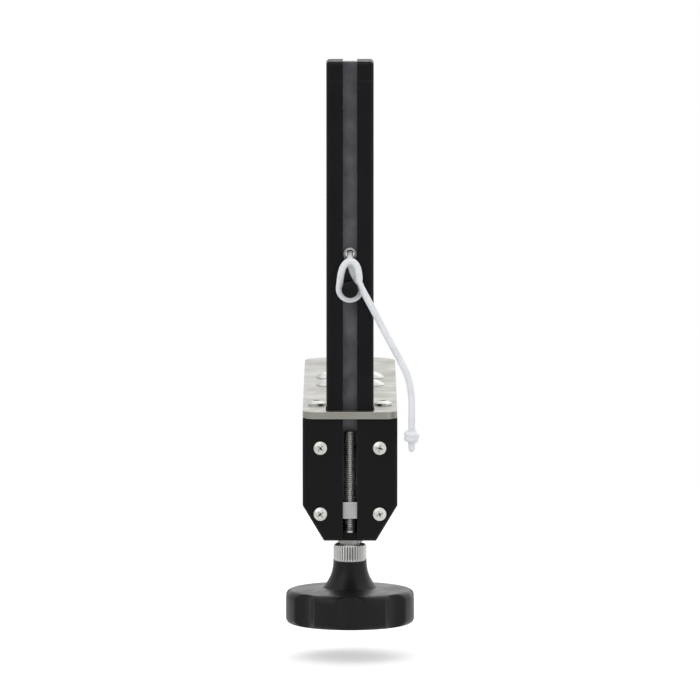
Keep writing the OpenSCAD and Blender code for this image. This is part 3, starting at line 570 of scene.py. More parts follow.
class PartTree(NodeKit):
    """One Geometry Nodes group with named inputs, whose result becomes a plain mesh."""

    def __init__(self, name: str, base: bool = False) -> None:
        """Starts an empty group.

        Args:
            name: the group's name.
            base: whether the group starts from the object's own mesh.
        """
        self.group = bpy.data.node_groups.new(name, "GeometryNodeTree")
        self.group.interface.new_socket("Mesh", in_out="OUTPUT", socket_type="NodeSocketGeometry")
        if base:
            self.group.interface.new_socket("Base", in_out="INPUT", socket_type="NodeSocketGeometry")
        super().__init__(self.group)
        self.entry = self.add("NodeGroupInput")
        self.values: dict[str, float | int] = {}

    def size(self, name: str, value: float | int) -> Socket:
        """Adds a named input that holds value, a whole number or a length, and returns its socket."""
        kind = "NodeSocketInt" if isinstance(value, int) else "NodeSocketFloat"
        item = self.group.interface.new_socket(name, in_out="INPUT", socket_type=kind)
        self.values[item.identifier] = value
        return self.entry.outputs[name]

    def vector(self, x: object = 0.0, y: object = 0.0, z: object = 0.0) -> Socket:
        """A vector from three numbers or sockets."""
        return self.add("ShaderNodeCombineXYZ", {0: x, 1: y, 2: z}).outputs[0]

    def moved(self, mesh: Socket, shift: object = (0, 0, 0), turn: Point = (0, 0, 0)
              ) -> Socket:
        """The mesh, turned by angles in radians and then shifted."""
        return self.add("GeometryNodeTransform", {"Geometry": mesh, "Translation": shift,
                                                  "Rotation": turn}).outputs[0]

    def crossed(self, first: Socket, second: Socket) -> Socket:
        """What two closed meshes have in common."""
        return self.add("GeometryNodeMeshBoolean", {"Mesh 2": [first, second]},
                        operation="INTERSECT").outputs["Mesh"]

    def cut(self, mesh: Socket, tool: Socket) -> Socket:
        """A closed mesh without what lies in the tool."""
        return self.add("GeometryNodeMeshBoolean", {"Mesh 1": mesh, "Mesh 2": tool},
                        operation="DIFFERENCE").outputs["Mesh"]

    def cylinder(self, around: int, radius: Value, length: Value, **segments: int) -> Socket:
        """A closed cylinder about the origin, with around corners and more rows where segments say so."""
        rows = {name.replace("_", " "): count for name, count in segments.items()}
        return self.add("GeometryNodeMeshCylinder", {"Vertices": around, "Radius": radius, "Depth": length,
                                                     **rows}).outputs[0]

    def join(self, *meshes: Socket) -> Socket:
        """Several meshes as one."""
        return self.add("GeometryNodeJoinGeometry", {0: list(meshes)}).outputs[0]

    def polar(self) -> tuple[Socket, Socket, Socket]:
        """Each point's distance from the Z axis, its share of a turn round it, and its height."""
        place = self.add("ShaderNodeSeparateXYZ", {0: self.add("GeometryNodeInputPosition").outputs[0]})
        x, y, z = place.outputs
        radius = self.sum("SQRT", self.sum("ADD", self.times(x, x), self.times(y, y)))
        turn = self.sum("DIVIDE", self.sum("ARCTAN2", y, x), TURN)
        return radius, turn, z

    def at_radius(self, mesh: Socket, radius: Socket) -> Socket:
        """Moves each point of the mesh straight in or out to a new distance from the Z axis."""
        old, _, _ = self.polar()
        ratio = self.sum("DIVIDE", radius, self.sum("MAXIMUM", old, 1e-6))
        place = self.add("GeometryNodeInputPosition").outputs[0]
        scaled = self.add("ShaderNodeVectorMath", {0: place, 1: self.vector(ratio, ratio, 1.0)},
                          operation="MULTIPLY").outputs[0]
        return self.add("GeometryNodeSetPosition", {"Geometry": mesh, "Position": scaled}).outputs[0]

    def piece(self, name: str, mesh: Socket, finish: Finish,
              base: Piece | None = None, shift: Point = (0, 0, 0)) -> Piece:
        """Ends the tree, runs it once and keeps the result as a plain mesh.

        Args:
            name: the new piece's name.
            mesh: the tree's last mesh.
            finish: the piece's finish.
            base: the object whose mesh the tree starts from, which is used up.
            shift: where the tree's own origin goes.

        Returns:
            The new object, with no modifier.
        """
        real = self.add("GeometryNodeRealizeInstances", {"Geometry": self.moved(mesh, shift)})
        dressed = self.add("GeometryNodeSetMaterial", {"Geometry": real.outputs[0],
                                                       "Material": material_of(finish)})
        self.add("NodeGroupOutput", {"Mesh": dressed.outputs[0]})
        maker = base or placed(name, bpy.data.meshes.new(name))
        modifier = maker.modifiers.new("tree", "NODES")
        modifier.node_group = self.group
        for identifier, value in self.values.items():
            modifier[identifier] = value
        seen = maker.evaluated_get(bpy.context.evaluated_depsgraph_get())
        result = bpy.data.meshes.new_from_object(seen)
        bpy.data.objects.remove(maker)
        return shown(name, result, finish)


class Recess(Enum):
    """The drive in a screw's head, as its number of slots."""

    PLAIN = 0
    CROSS = 2
    HEX = 3


@dataclass
class Heads:
    """Fasteners with domed heads, set out on a grid and seen from above in their own axes."""

    radius: float
    height: float
    shank: float
    length: float
    columns: int
    rows: int
    spacing: Pair
    recess: Recess
    turn: Point = (0, 0, 0)
    rise: float = 0.55
    seed: int = 3
    socket_share: float = 0.46
    slot_long: float = 1.15
    slot_wide: float = 0.24
    recess_deep: float = 1.3
    around: int = 40
    dome_segments: int = 48
    dome_rings: int = 60
    shank_around: int = 24
    tree: PartTree = field(init=False)

    def head(self) -> Socket:
        """One head on its shank, with its foot at the origin and its axis along +Z.

        Returns:
            The fastener's closed mesh.
        """
        tree = self.tree
        radius = tree.size("Head radius", self.radius)
        height = tree.size("Head height", self.height)
        rise = self.rise * self.height
        ball = tree.size("Dome radius", (self.radius ** 2 + rise ** 2) / (2 * rise))
        drum = tree.moved(tree.cylinder(self.around, radius, height),
                          tree.vector(z=tree.sum("DIVIDE", height, 2.0)))
        dome = tree.add("GeometryNodeMeshUVSphere", {"Segments": self.dome_segments, "Rings": self.dome_rings,
                                                         "Radius": ball})
        dome = tree.moved(dome.outputs[0], tree.vector(z=tree.minus(height, ball)))
        head = tree.crossed(drum, dome)
        for tool in self.cuts(radius, height):
            head = tree.cut(head, tool)
        shank = tree.cylinder(self.shank_around, tree.size("Shank radius", self.shank),
                              tree.size("Shank length", self.length))
        return tree.join(head, tree.moved(shank, tree.vector(z=-self.length / 2)))

    def cuts(self, radius: Socket, height: Socket) -> list[Socket]:
        """The shapes that the recess takes out of the head.

        Args:
            radius: the head's radius.
            height: the head's height.

        Returns:
            Closed meshes to cut away.
        """
        tree = self.tree
        if self.recess is Recess.PLAIN:
            return []
        deep = tree.times(height, self.recess_deep)
        if self.recess is Recess.HEX:
            share = tree.size("Socket share", self.socket_share)
            return [tree.moved(tree.cylinder(6, tree.times(radius, share), deep), tree.vector(z=height))]
        long = tree.times(radius, tree.size("Slot length share", self.slot_long))
        wide = tree.times(radius, tree.size("Slot width share", self.slot_wide))
        bar = tree.add("GeometryNodeMeshCube", {"Size": tree.vector(long, wide, deep)}).outputs[0]
        return [tree.moved(bar, tree.vector(z=height), (0, 0, k * math.pi / self.recess.value))
                for k in range(self.recess.value)]

    def build(self, name: str, finish: Finish, centre: Point) -> Piece:
        """Sets the heads out on their grid.

        Args:
            name: the piece's name.
            finish: the fasteners' finish.
            centre: middle of the grid.

        Returns:
            One piece that holds every fastener.
        """
        self.tree = PartTree(name)
        tree = self.tree
        grid = tree.add("GeometryNodeMeshGrid", {
            "Size X": tree.size("Column spacing", self.spacing[0] * (self.columns - 1)),
            "Size Y": tree.size("Row spacing", self.spacing[1] * (self.rows - 1)),
            "Vertices X": tree.size("Columns", self.columns), "Vertices Y": tree.size("Rows", self.rows)})
        limits = {"Min": (0, 0, 0), "Max": (0, 0, math.pi), "Seed": tree.size("Seed", self.seed)}
        spin = tree.add("FunctionNodeRandomValue", limits, data_type="FLOAT_VECTOR")
        spread = tree.add("GeometryNodeInstanceOnPoints", {
            "Points": grid.outputs[0], "Instance": self.head(), "Rotation": spin.outputs[0]})
        return tree.piece(name, tree.moved(spread.outputs[0], turn=self.turn), finish, shift=centre)


@dataclass
class Thread:
    """A right-hand V thread cut into a rod."""

    radius: float
    pitch: float
    length: float
    around: int = 48
    depth_share: float = 0.61
    crest_flat: float = 0.12
    flank_slope: float = 1.1
    root_flat: float = 0.9
    rows_a_turn: int = 10
    steel: GroovedSteel = GROOVED_STEEL

    def build(self, name: str, foot: Point) -> Piece:
        """Makes the threaded rod, standing on foot.

        Args:
            name: the piece's name, which its material bears too.
            foot: middle of the rod's lower end.

        Returns:
            The threaded rod.
        """
        tree = PartTree(name)
        radius, pitch = tree.size("Radius", self.radius), tree.size("Pitch", self.pitch)
        length = tree.size("Length", self.length)
        depth = tree.times(pitch, tree.size("Depth share", self.depth_share))
        rod = tree.cylinder(self.around, radius, length,
                            Side_Segments=round(self.length / self.pitch * self.rows_a_turn))
        rod = tree.moved(rod, tree.vector(z=tree.sum("DIVIDE", length, 2.0)))
        old, turn, height = tree.polar()
        phase = tree.sum("FRACT", tree.minus(tree.sum("DIVIDE", height, pitch), turn))
        flank = tree.sum("ABSOLUTE", tree.minus(tree.times(phase, 2.0), 1.0))
        below = tree.sum("MAXIMUM", tree.minus(flank, self.crest_flat), 0.0)
        slope = tree.times(below, self.flank_slope)
        cut = tree.times(tree.sum("MINIMUM", slope, self.root_flat), depth)
        thread = tree.at_radius(rod, tree.sum("MINIMUM", old, tree.minus(radius, cut)))
        # the steel paints shade into the thread's roots, under the crests
        steel = replace(self.steel, name=f"{name}_steel", axis=foot[:2], crest=self.radius,
                        groove=self.root_flat * self.depth_share * self.pitch)
        return tree.piece(name, thread, steel, shift=foot)


# ---------------------------------------------------------------- sub-assemblies


@dataclass
class Arm:
    """The zinc-plated plate that lies over the board and carries the post, with its rubber pad."""

    body: str = "clamp"
    plate_edge: float = 0.6 * MM
    pad_edge: float = 0.4 * MM

    def build(self) -> None:
        """Makes the plate and its pad."""
        dress(self.body, ZINC_SHEET, self.plate_edge, "arm_plate")
        dress(self.body, RUBBER, self.pad_edge, "upper_pad")


@dataclass
class JawFrame:
    """The black C-shaped frame under the plate, with its pad, threaded bush and rivets."""

    body: str = "clamp"
    edge: float = 0.7 * MM
    rivet_radius: float = 4.9 * MM
    rivet_height: float = 2.4 * MM
    rivet_foot_radius: float = 4.5 * MM
    rivet_foot_height: float = 1.8 * MM
    rivet_shank: float = 3 * MM

    def rivets(self) -> None:
        """The four rivets, each with a head above the plate and a foot under the frame."""
        low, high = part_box("frame_rivets")
        columns = high.x - low.x - 2 * self.rivet_radius
        rows = high.y - low.y - 2 * self.rivet_radius
        plate_top = high.z - self.rivet_height
        foot = low.z + self.rivet_foot_height
        centre = (0, (low.y + high.y) / 2)
        heads = Heads(self.rivet_radius, self.rivet_height, self.rivet_shank, plate_top - foot, 2, 2,
                      (columns, rows), Recess.PLAIN, rise=0.92)
        feet = Heads(self.rivet_foot_radius, self.rivet_foot_height, self.rivet_shank, (plate_top - foot) / 2,
                     2, 2, (columns, rows), Recess.PLAIN, (math.pi, 0, 0), rise=0.9)
        above = heads.build("rivet_heads", BRIGHT_STEEL, (*centre, plate_top))
        below = feet.build("rivet_feet", BRIGHT_STEEL, (*centre, foot))
        seat(below, self.body, BRIGHT_STEEL)
        seat(above, self.body, BRIGHT_STEEL, "frame_rivets")

    def build(self) -> None:
        """Makes the frame and what is fixed to it."""
        dress(self.body, FRAME_BLACK, self.edge, "jaw_frame")
        dress(self.body, RUBBER, self.edge, "edge_pad")
        dress(self.body, TURNED_STEEL, self.edge, "screw_bush")
        self.rivets()


@dataclass
class PostSocket:
    """The black block that guides the post, its two front rails and their screws."""

    body: str = "clamp"
    edge: float = 0.8 * MM
    rail_edge: float = 0.6 * MM
    washer_edge: float = 0.1 * MM
    screw_radius: float = 2.8 * MM
    screw_height: float = 1.9 * MM
    screw_shank: float = 1.5 * MM
    bolt_radius: float = 3.8 * MM
    bolt_height: float = 2.2 * MM
    bolt_shank: float = 2 * MM

    def screws(self) -> None:
        """The four cross-head screws in the front of the rails."""
        low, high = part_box("rail_screws")
        spacing = (high.x - low.x - 2 * self.screw_radius, high.z - low.z - 2 * self.screw_radius)
        face = low.y + self.screw_height
        pattern = Heads(self.screw_radius, self.screw_height, self.screw_shank, high.y - face, 2, 2,
                        spacing, Recess.CROSS, (math.pi / 2, 0, 0))
        piece = pattern.build("rail_screw_heads", BRIGHT_STEEL, (0, face, (low.z + high.z) / 2))
        seat(piece, self.body, BRIGHT_STEEL, "rail_screws")

    def bolts(self) -> None:
        """The two socket-head bolts that hold the block under the plate."""
        low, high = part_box("socket_bolts")
        spacing = (high.x - low.x - 2 * self.bolt_radius, 0)
        top = high.z - self.bolt_height
        pattern = Heads(self.bolt_radius, self.bolt_height, self.bolt_shank, top - low.z, 2, 1,
                        spacing, Recess.HEX)
        piece = pattern.build("socket_bolt_heads", BRIGHT_STEEL, (0, (low.y + high.y) / 2, top))
        seat(piece, self.body, BRIGHT_STEEL, "socket_bolts")

    def build(self) -> None:
        """Makes the block, the rails and their fasteners."""
        dress(self.body, BLOCK_BLACK, self.edge, "post_socket")
        dress(self.body, BLOCK_BLACK, self.rail_edge, "rail_left", "rail_right")
        dress(self.body, BRIGHT_STEEL, self.washer_edge, "spindle_washer")
        self.screws()
        self.bolts()


@dataclass
class HeightSpindle:
    """The M5 spindle that lifts the post, with its knurled thumb wheel and clip."""

    body: str = "height_spindle"
    radius: float = 2.5 * MM
    pitch: float = 0.8 * MM
    collar_radius: float = 4.2 * MM
    collar_height: float = 1.8 * MM
    knurls: int = 36
    knurl_depth: float = 0.55 * MM
    # painted shade in the knurl's grooves
    knurl_painted_shade: Colour = (0.20, 0.20, 0.19)
    chamfer: float = 0.7 * MM
    clip_edge: float = 0.1 * MM
    knurl_steps: int = 6
    rim_rows: int = 24
    collar_around: int = 48

    def wheel(self) -> None:
        """The thumb wheel, with a straight knurl round its rim and a collar on top."""
        low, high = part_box("thumb_wheel")
        radius = (high.x - low.x) / 2
        rim = high.z - low.z - self.collar_height
        tree = PartTree("knurled_wheel")
        outer, height = tree.size("Rim radius", radius), tree.size("Rim height", rim)
        count, depth = tree.size("Knurls", float(self.knurls)), tree.size("Knurl depth", self.knurl_depth)
        chamfer = tree.size("Chamfer", self.chamfer)
        drum = tree.cylinder(self.knurls * self.knurl_steps, outer, height, Side_Segments=self.rim_rows,
                             Fill_Segments=2)
        old, turn, z = tree.polar()
        phase = tree.sum("FRACT", tree.times(turn, count))
        tooth = tree.sum("ABSOLUTE", tree.minus(tree.times(phase, 2.0), 1.0))
        groove = tree.minus(outer, tree.times(tooth, depth))
        from_end = tree.minus(tree.sum("DIVIDE", height, 2.0), tree.sum("ABSOLUTE", z))
        slope = tree.sum("ADD", tree.minus(outer, chamfer), from_end)
        limit = tree.sum("MINIMUM", groove, slope)
        rim_mesh = tree.at_radius(drum, tree.sum("MINIMUM", old, limit))
        collar = tree.cylinder(self.collar_around, tree.size("Collar radius", self.collar_radius),
                               tree.size("Collar height", self.collar_height))
        whole = tree.join(rim_mesh, tree.moved(collar, tree.vector(z=(rim + self.collar_height) / 2)))
        centre = (*axis_of(low, high), low.z + rim / 2)
        # the knurl's grooves get their own painted shade
        steel = replace(GROOVED_STEEL, name="knurled_steel", axis=centre[:2], crest=radius,
                        groove=self.knurl_depth, painted_groove_shade=self.knurl_painted_shade)
        piece = tree.piece("knurled_wheel", whole, steel, shift=centre)
        seat(piece, self.body, steel, "thumb_wheel")

    def build(self) -> None:
        """Makes the spindle's thread, its wheel and its clip."""
        low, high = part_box("height_spindle")
        foot = (*axis_of(low, high), low.z)
        thread = Thread(self.radius, self.pitch, high.z - low.z, 28, steel=SPINDLE_STEEL)
        seat(thread.build("spindle_thread", foot), self.body, SPINDLE_STEEL, "height_spindle")
        dress(self.body, SPRING_DARK, self.clip_edge, "spindle_clip")
        self.wheel()


@dataclass
class NetPost:
    """The post: two black bars on a grey core, with its cap, peg, eyelet, pins and lift nut."""

    body: str = "post"
    bar_edge: float = 0.45 * MM
    small_edge: float = 0.25 * MM
    pin_edge: float = 0.12 * MM

    def build(self) -> None:
        """Makes the post's pieces."""
        for finish, edge, nodes in (
                (BAR_BLACK, self.bar_edge, ("bar_left", "bar_right")),
                (CORE_GREY, self.small_edge, ("post_core",)),
                (BLOCK_BLACK, self.bar_edge, ("top_cap",)),
                (TURNED_STEEL, self.small_edge, ("lift_nut",)),
                (BLOCK_BLACK, self.small_edge, ("cord_peg",)),
                (BRIGHT_STEEL, self.pin_edge, ("post_pins", "nut_screws", "cord_eyelet"))):
            dress(self.body, finish, edge, *nodes)


@dataclass
class NetCord:
    """The white braided cord: down the slot, out through the eyelet, round the peg, and a free end."""

    body: str = "post"
    radius: float = 1.5 * MM
    strands: int = 8
    lay: float = 10.5 * MM
    weave: float = 0.13 * MM
    strand_wide: float = 0.44 * MM
    strand_thick: float = 0.20 * MM
    strand_sides: int = 6
    knot_steps: int = 14
    step: float = 0.24 * MM
    post_face: float = -152.5 * MM
    core_outer: float = -145.5 * MM
    core_inner: float = -140.5 * MM
    slot_y: float = -138 * MM
    top: float = 146.7 * MM
    eyelet_z: float = 70.5 * MM
    flange: float = 0.5 * MM
    bend: float = 4.5 * MM
    peg_z: float = 57 * MM
    wrap_radius: float = 4.5 * MM
    wrap_start: float = 20
    wrap_sweep: float = 352
    wrap_pitch: float = 3.7 * MM
    wrap_gap: float = 1.8 * MM
    wrap_round: float = 200
    wrap_steps: int = 12
    free_knot_drop: float = 6.6 * MM
    free_knot_turns: float = 2.2
    free_knot_thin: float = 0.97
    top_knot_inset: float = 0.1 * MM
    top_knot_turns: float = 1.6
    top_knot_end: float = 0.6 * MM
    top_knot_thin: float = 0.92
    # lead, loop and tail are in millimetres. lead is x, then out from the core and down from the eyelet.
    # loop is x, height over the peg, and the degrees swept. tail is x, out from the peg, and height.
    lead: tuple[Point, ...] = ((0, 0, 0), (0, 3, 0.4), (0.1, 5.8, 2), (0.6, 7.6, 4.6), (1.8, 8.3, 8))
    loop: tuple[Point, ...] = ((-4.2, 3.2, 220), (-3.8, 6.2, 236), (-2.9, 9.2, 252), (-1.1, 11.3, 266),
                               (1.3, 11.4, 282), (3, 9.4, 296), (3.7, 6.4, 312), (3.9, 4, 332))
    tail: tuple[Point, ...] = ((8.7, 0, 50.3), (13.3, 0, 41.5), (18, 0.1, 32.7), (22.4, 0.2, 24.4),
                               (24.5, 0.3, 19.4), (25.6, 0.4, 14), (26, 0.4, 8.5), (26, 0.4, 3), (26, 0.4, -2))

    def wrap_y(self, swept: float) -> float:
        """How far out from the table the turn lies when it has come swept degrees round the peg."""
        return self.post_face - self.wrap_gap - self.wrap_pitch * swept / self.wrap_sweep

    def wrap_at(self, swept: float) -> Vector:
        """The cord's place where it hugs the peg and has come swept degrees round it."""
        angle = math.radians(self.wrap_start - swept)
        return Vector((self.wrap_radius * math.cos(angle), self.wrap_y(swept),
                       self.peg_z + self.wrap_radius * math.sin(angle)))

    def run_points(self) -> list[Vector]:
        """The route from the knot in the top notch to where the cord leaves the peg.

        Returns:
            The route's points.
        """
        turn_y = self.core_inner + self.flange
        first = Vector((0, self.slot_y, self.top))
        last = Vector((0, turn_y + self.bend, self.eyelet_z + self.bend))
        points = [first.lerp(last, i / 8) for i in range(9)]
        for i in range(1, 7):
            angle = -math.pi / 2 * i / 6
            points.append(Vector((0, turn_y + self.bend * math.cos(angle),
                                  self.eyelet_z + self.bend + self.bend * math.sin(angle))))
        out = self.core_outer - self.flange
        points += [Vector((x * MM, out - y * MM, self.eyelet_z - z * MM)) for x, y, z in self.lead]
        points += [self.wrap_at(self.wrap_round * i / self.wrap_steps) for i in range(self.wrap_steps + 1)]
        points += [Vector((x * MM, self.wrap_y(swept), self.peg_z + z * MM)) for x, z, swept in self.loop]
        return points + [self.wrap_at(self.wrap_sweep)]

    def tail_points(self) -> list[Vector]:
        """The free end's points, from the peg down to its knot."""
        leave = self.wrap_at(self.wrap_sweep)
        return [leave] + [Vector((x * MM, leave.y - y * MM, z * MM)) for x, y, z in self.tail]

    @staticmethod
    def along(line: np.ndarray) -> np.ndarray:
        """The length of line from its start to each of its places."""
        return np.concatenate([[0], np.cumsum(np.linalg.norm(np.diff(line, axis=0), axis=1))])

    def smooth(self, points: list[Vector]) -> np.ndarray:
        """A smooth line through all the points, with a place every step.

        Args:
            points: the route's points.

        Returns:
            Places along the line, as rows.
        """
        p = np.array([points[0] * 2 - points[1], *points, points[-1] * 2 - points[-2]], float)
        line = []
        for i in range(1, len(p) - 2):
            a, b, c, d = p[i - 1:i + 3]
            t = np.linspace(0, 1, 12, endpoint=False)[:, None]
            line.append(0.5 * (2 * b + (c - a) * t + (2 * a - 5 * b + 4 * c - d) * t ** 2
                               + (3 * b - a - 3 * c + d) * t ** 3))
        line = np.concatenate([*line, p[-2:-1]])
        along = self.along(line)
        at = np.linspace(0, along[-1], max(3, round(along[-1] / self.step)))
        return np.stack([np.interp(at, along, line[:, k]) for k in range(3)], axis=1)

    def frames(self, line: np.ndarray) -> tuple[np.ndarray, np.ndarray]:
        """Two sideways directions at each place of a line, which turn with it and never twist.

        Args:
            line: places along the line.

        Returns:
            The first and the second sideways directions.
        """
        ways = np.gradient(line, axis=0)
        ways /= np.linalg.norm(ways, axis=1)[:, None]
        side = np.cross(ways[0], (0.3, 0.8, 0.5))
        sides = []
        for way in ways:
            side = side - way * side.dot(way)
            side = side / np.linalg.norm(side)
            sides.append(side)
        sides = np.array(sides)
        return sides, np.cross(ways, sides)

    def braid(self, name: str, line: np.ndarray, part: slice = slice(None), thin: float = 1,
              tip: int | None = None) -> Piece:
        """Braids strands both ways round a line, over a plain core.

        Args:
            name: the piece's name.
            line: places along the whole cord's middle, which keep the braid in step from piece to piece.
            part: the places that this piece covers.
            thin: share of the cord's full thickness.
            tip: 0 where the first end is cut and melted round, -1 where the last end is.

        Returns:
            The braided cord as one mesh, with its depth attribute.
        """
        u, v = self.frames(line)
        along = self.along(line)
        line, u, v, along = line[part], u[part], v[part], along[part]
        from_tip = np.full(len(line), self.radius) if tip is None else np.abs(along - along[tip])
        inward = np.clip(1 - from_tip / self.radius, 0, 0.96)
        squeeze = thin * np.sqrt(1 - inward ** 2)
        middle = self.radius - self.weave - self.strand_thick
        points, faces, depth, sides = [], [], [], self.strand_sides
        for way in (1, -1):
            wave = way * np.cos(self.strands * TURN * along / self.lay)
            radius = squeeze * (middle + self.weave * wave)
            for k in range(self.strands):
                turn = way * TURN * along / self.lay + TURN * k / self.strands
                outward = u * np.cos(turn)[:, None] + v * np.sin(turn)[:, None]
                centre = line + outward * radius[:, None]
                lead = np.gradient(centre, axis=0)
                across = np.cross(lead, outward)
                across /= np.linalg.norm(across, axis=1)[:, None]
                rings = [centre + squeeze[:, None] * (across * self.strand_wide * math.cos(a)
                                                      + outward * self.strand_thick * math.sin(a))
                         for a in np.arange(sides) * TURN / sides]
                self.skin(np.stack(rings, axis=1), points, faces)
                # the depth attribute: 0 down in the braid, 1 on top; the yarn paints shade where it is low
                depth.append(np.repeat(0.5 + 0.5 * wave, sides))
        core = [line + squeeze[:, None] * (middle - self.weave) * (u * math.cos(a) + v * math.sin(a))
                for a in np.arange(sides) * TURN / sides]
        self.skin(np.stack(core, axis=1), points, faces)
        # the core counts as deepest, so the yarn paints it in full shade
        depth.append(np.zeros(len(line) * sides))
        piece = mesh_piece(name, np.concatenate(points), faces, WHITE_YARN)
        values = piece.data.attributes.new(WHITE_YARN.depth_name, "FLOAT", "POINT")
        values.data.foreach_set("value", np.concatenate(depth).astype(np.float32))
        return piece

    def skin(self, rings: np.ndarray, points: list, faces: list) -> None:
        """Adds a closed tube to lists of points and faces.

        Args:
            rings: the tube's rings of corners, as rings by corners by 3.
            points: arrays of corners, which grow.
            faces: corner numbers, which grow.
        """
        first = sum(len(p) for p in points)
        count, sides = rings.shape[:2]
        points.append(rings.reshape(-1, 3))
        centre = rings[0].mean(0)
        way = np.cross(rings[0][0] - centre, rings[0][1] - centre)
        outward = way.dot(rings[1].mean(0) - centre) > 0
        for i in range(count - 1):
            for k in range(sides):
                n = (k + 1) % sides
                low, high = first + i * sides, first + (i + 1) * sides
                quad = (low + k, low + n, high + n, high + k)
                faces.append(quad if outward else quad[::-1])
        cap = tuple(range(first, first + sides))
        lid = tuple(range(first + (count - 1) * sides, first + count * sides))
        faces.append(cap[::-1] if outward else cap)
        faces.append(lid if outward else lid[::-1])

    def knot_line(self, centre: Vector, radius: float, drop: float, turns: float, end: float) -> np.ndarray:
        """The route through a barrel knot: in at the top, round itself, and out at the bottom.

        Args:
            centre: middle of the knot's top.
            radius: radius of the turns.
            drop: height that the turns take.
            turns: how many turns there are.
            end: length of the cut end under the knot.

        Returns:
            Places along the route.
        """
        points = [centre]
        steps = round(turns * self.knot_steps)
        for i in range(steps + 1):
            share = i / steps
            grow = min(1, 5 * share, 5 * (1 - share)) ** 0.5
            angle = TURN * turns * share
            points.append(centre + Vector((radius * grow * math.cos(angle), radius * grow * math.sin(angle),
                                           -self.radius * 0.9 - (drop - 1.8 * self.radius) * share)))
        points += [centre - Vector((0, 0, drop)), centre - Vector((0, 0, drop + end))]
        return self.smooth(points)

    def build(self) -> None:
        line = self.smooth(self.run_points() + self.tail_points()[1:])
        leave = int(np.argmin(np.linalg.norm(line - np.array(self.tail_points()[0]), axis=1)))
        along = self.along(line)
        run_length, tail_length = float(along[leave]), float(along[-1] - along[leave])
        seat(self.braid("cord_on_post", line, slice(0, leave + 1)), self.body, WHITE_YARN, "cord_run")
        free = seat(self.braid("cord_free_end", line, slice(leave, None)), self.body, WHITE_YARN, "cord_tail")
        low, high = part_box("tail_knot")
        end = self.tail_points()[-1]
        knot_radius = (high.x - low.x) / 2 - self.radius
        line = self.knot_line(end, knot_radius, self.free_knot_drop, self.free_knot_turns,
                              high.z - low.z - self.free_knot_drop)
        knot = seat(self.braid("free_end_knot", line, thin=self.free_knot_thin, tip=-1), self.body,
                    WHITE_YARN, "tail_knot")
        low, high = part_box("top_knot")
        line = self.knot_line(Vector((0, (low.y + high.y) / 2, high.z - self.top_knot_inset)),
                              (high.y - low.y) / 2 - self.radius, high.z - low.z, self.top_knot_turns,
                              self.top_knot_end)
        seat(self.braid("notch_knot", line, thin=self.top_knot_thin, tip=0), self.body, WHITE_YARN, "top_knot")
        LOG.info("cord: %.1f mm on the post, %.1f mm free", run_length / MM, tail_length / MM)


@dataclass
class PressurePad:
    """The pressure plate under the board, with its ringed rubber facing and its ring."""

    body: str = "pressure_pad"
    edge: float = 0.3 * MM
    rib_pitch: float = 1.9 * MM
    rib_depth: float = 0.5 * MM
    rib_share: float = 0.6
    ring_edge: float = 0.1 * MM
    around: int = 96
    disc_rings: int = 64

    def facing(self) -> None:
        """The rubber facing, with rings moulded into its top."""
        low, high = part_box("pad_facing")
        tree = PartTree("ringed_facing")
        thick = high.z - low.z
        pitch, depth = tree.size("Ring pitch", self.rib_pitch), tree.size("Ring depth", self.rib_depth)
        disc = tree.cylinder(self.around, tree.size("Radius", (high.x - low.x) / 2),
                             tree.size("Thickness", thick), Fill_Segments=self.disc_rings)
        radius, _, z = tree.polar()
        phase = tree.sum("FRACT", tree.sum("DIVIDE", radius, pitch))
        on_top = tree.sum("GREATER_THAN", z, thick / 4)
        groove = tree.times(tree.sum("GREATER_THAN", phase, self.rib_share), tree.times(depth, on_top))
        sunk = tree.add("GeometryNodeSetPosition", {"Geometry": disc,
                                                    "Offset": tree.vector(z=tree.times(groove, -1.0))})
        centre = tuple((low + high) / 2)
        piece = tree.piece("ringed_facing", sunk.outputs[0], RUBBER, shift=centre)
        seat(piece, self.body, RUBBER, "pad_facing")

    def build(self) -> None:
        """Makes the plate, its facing and its ring."""
        dress(self.body, TURNED_STEEL, self.edge, "pad_cup")
        dress(self.body, SPRING_DARK, self.ring_edge, "pad_ring")
        self.facing()


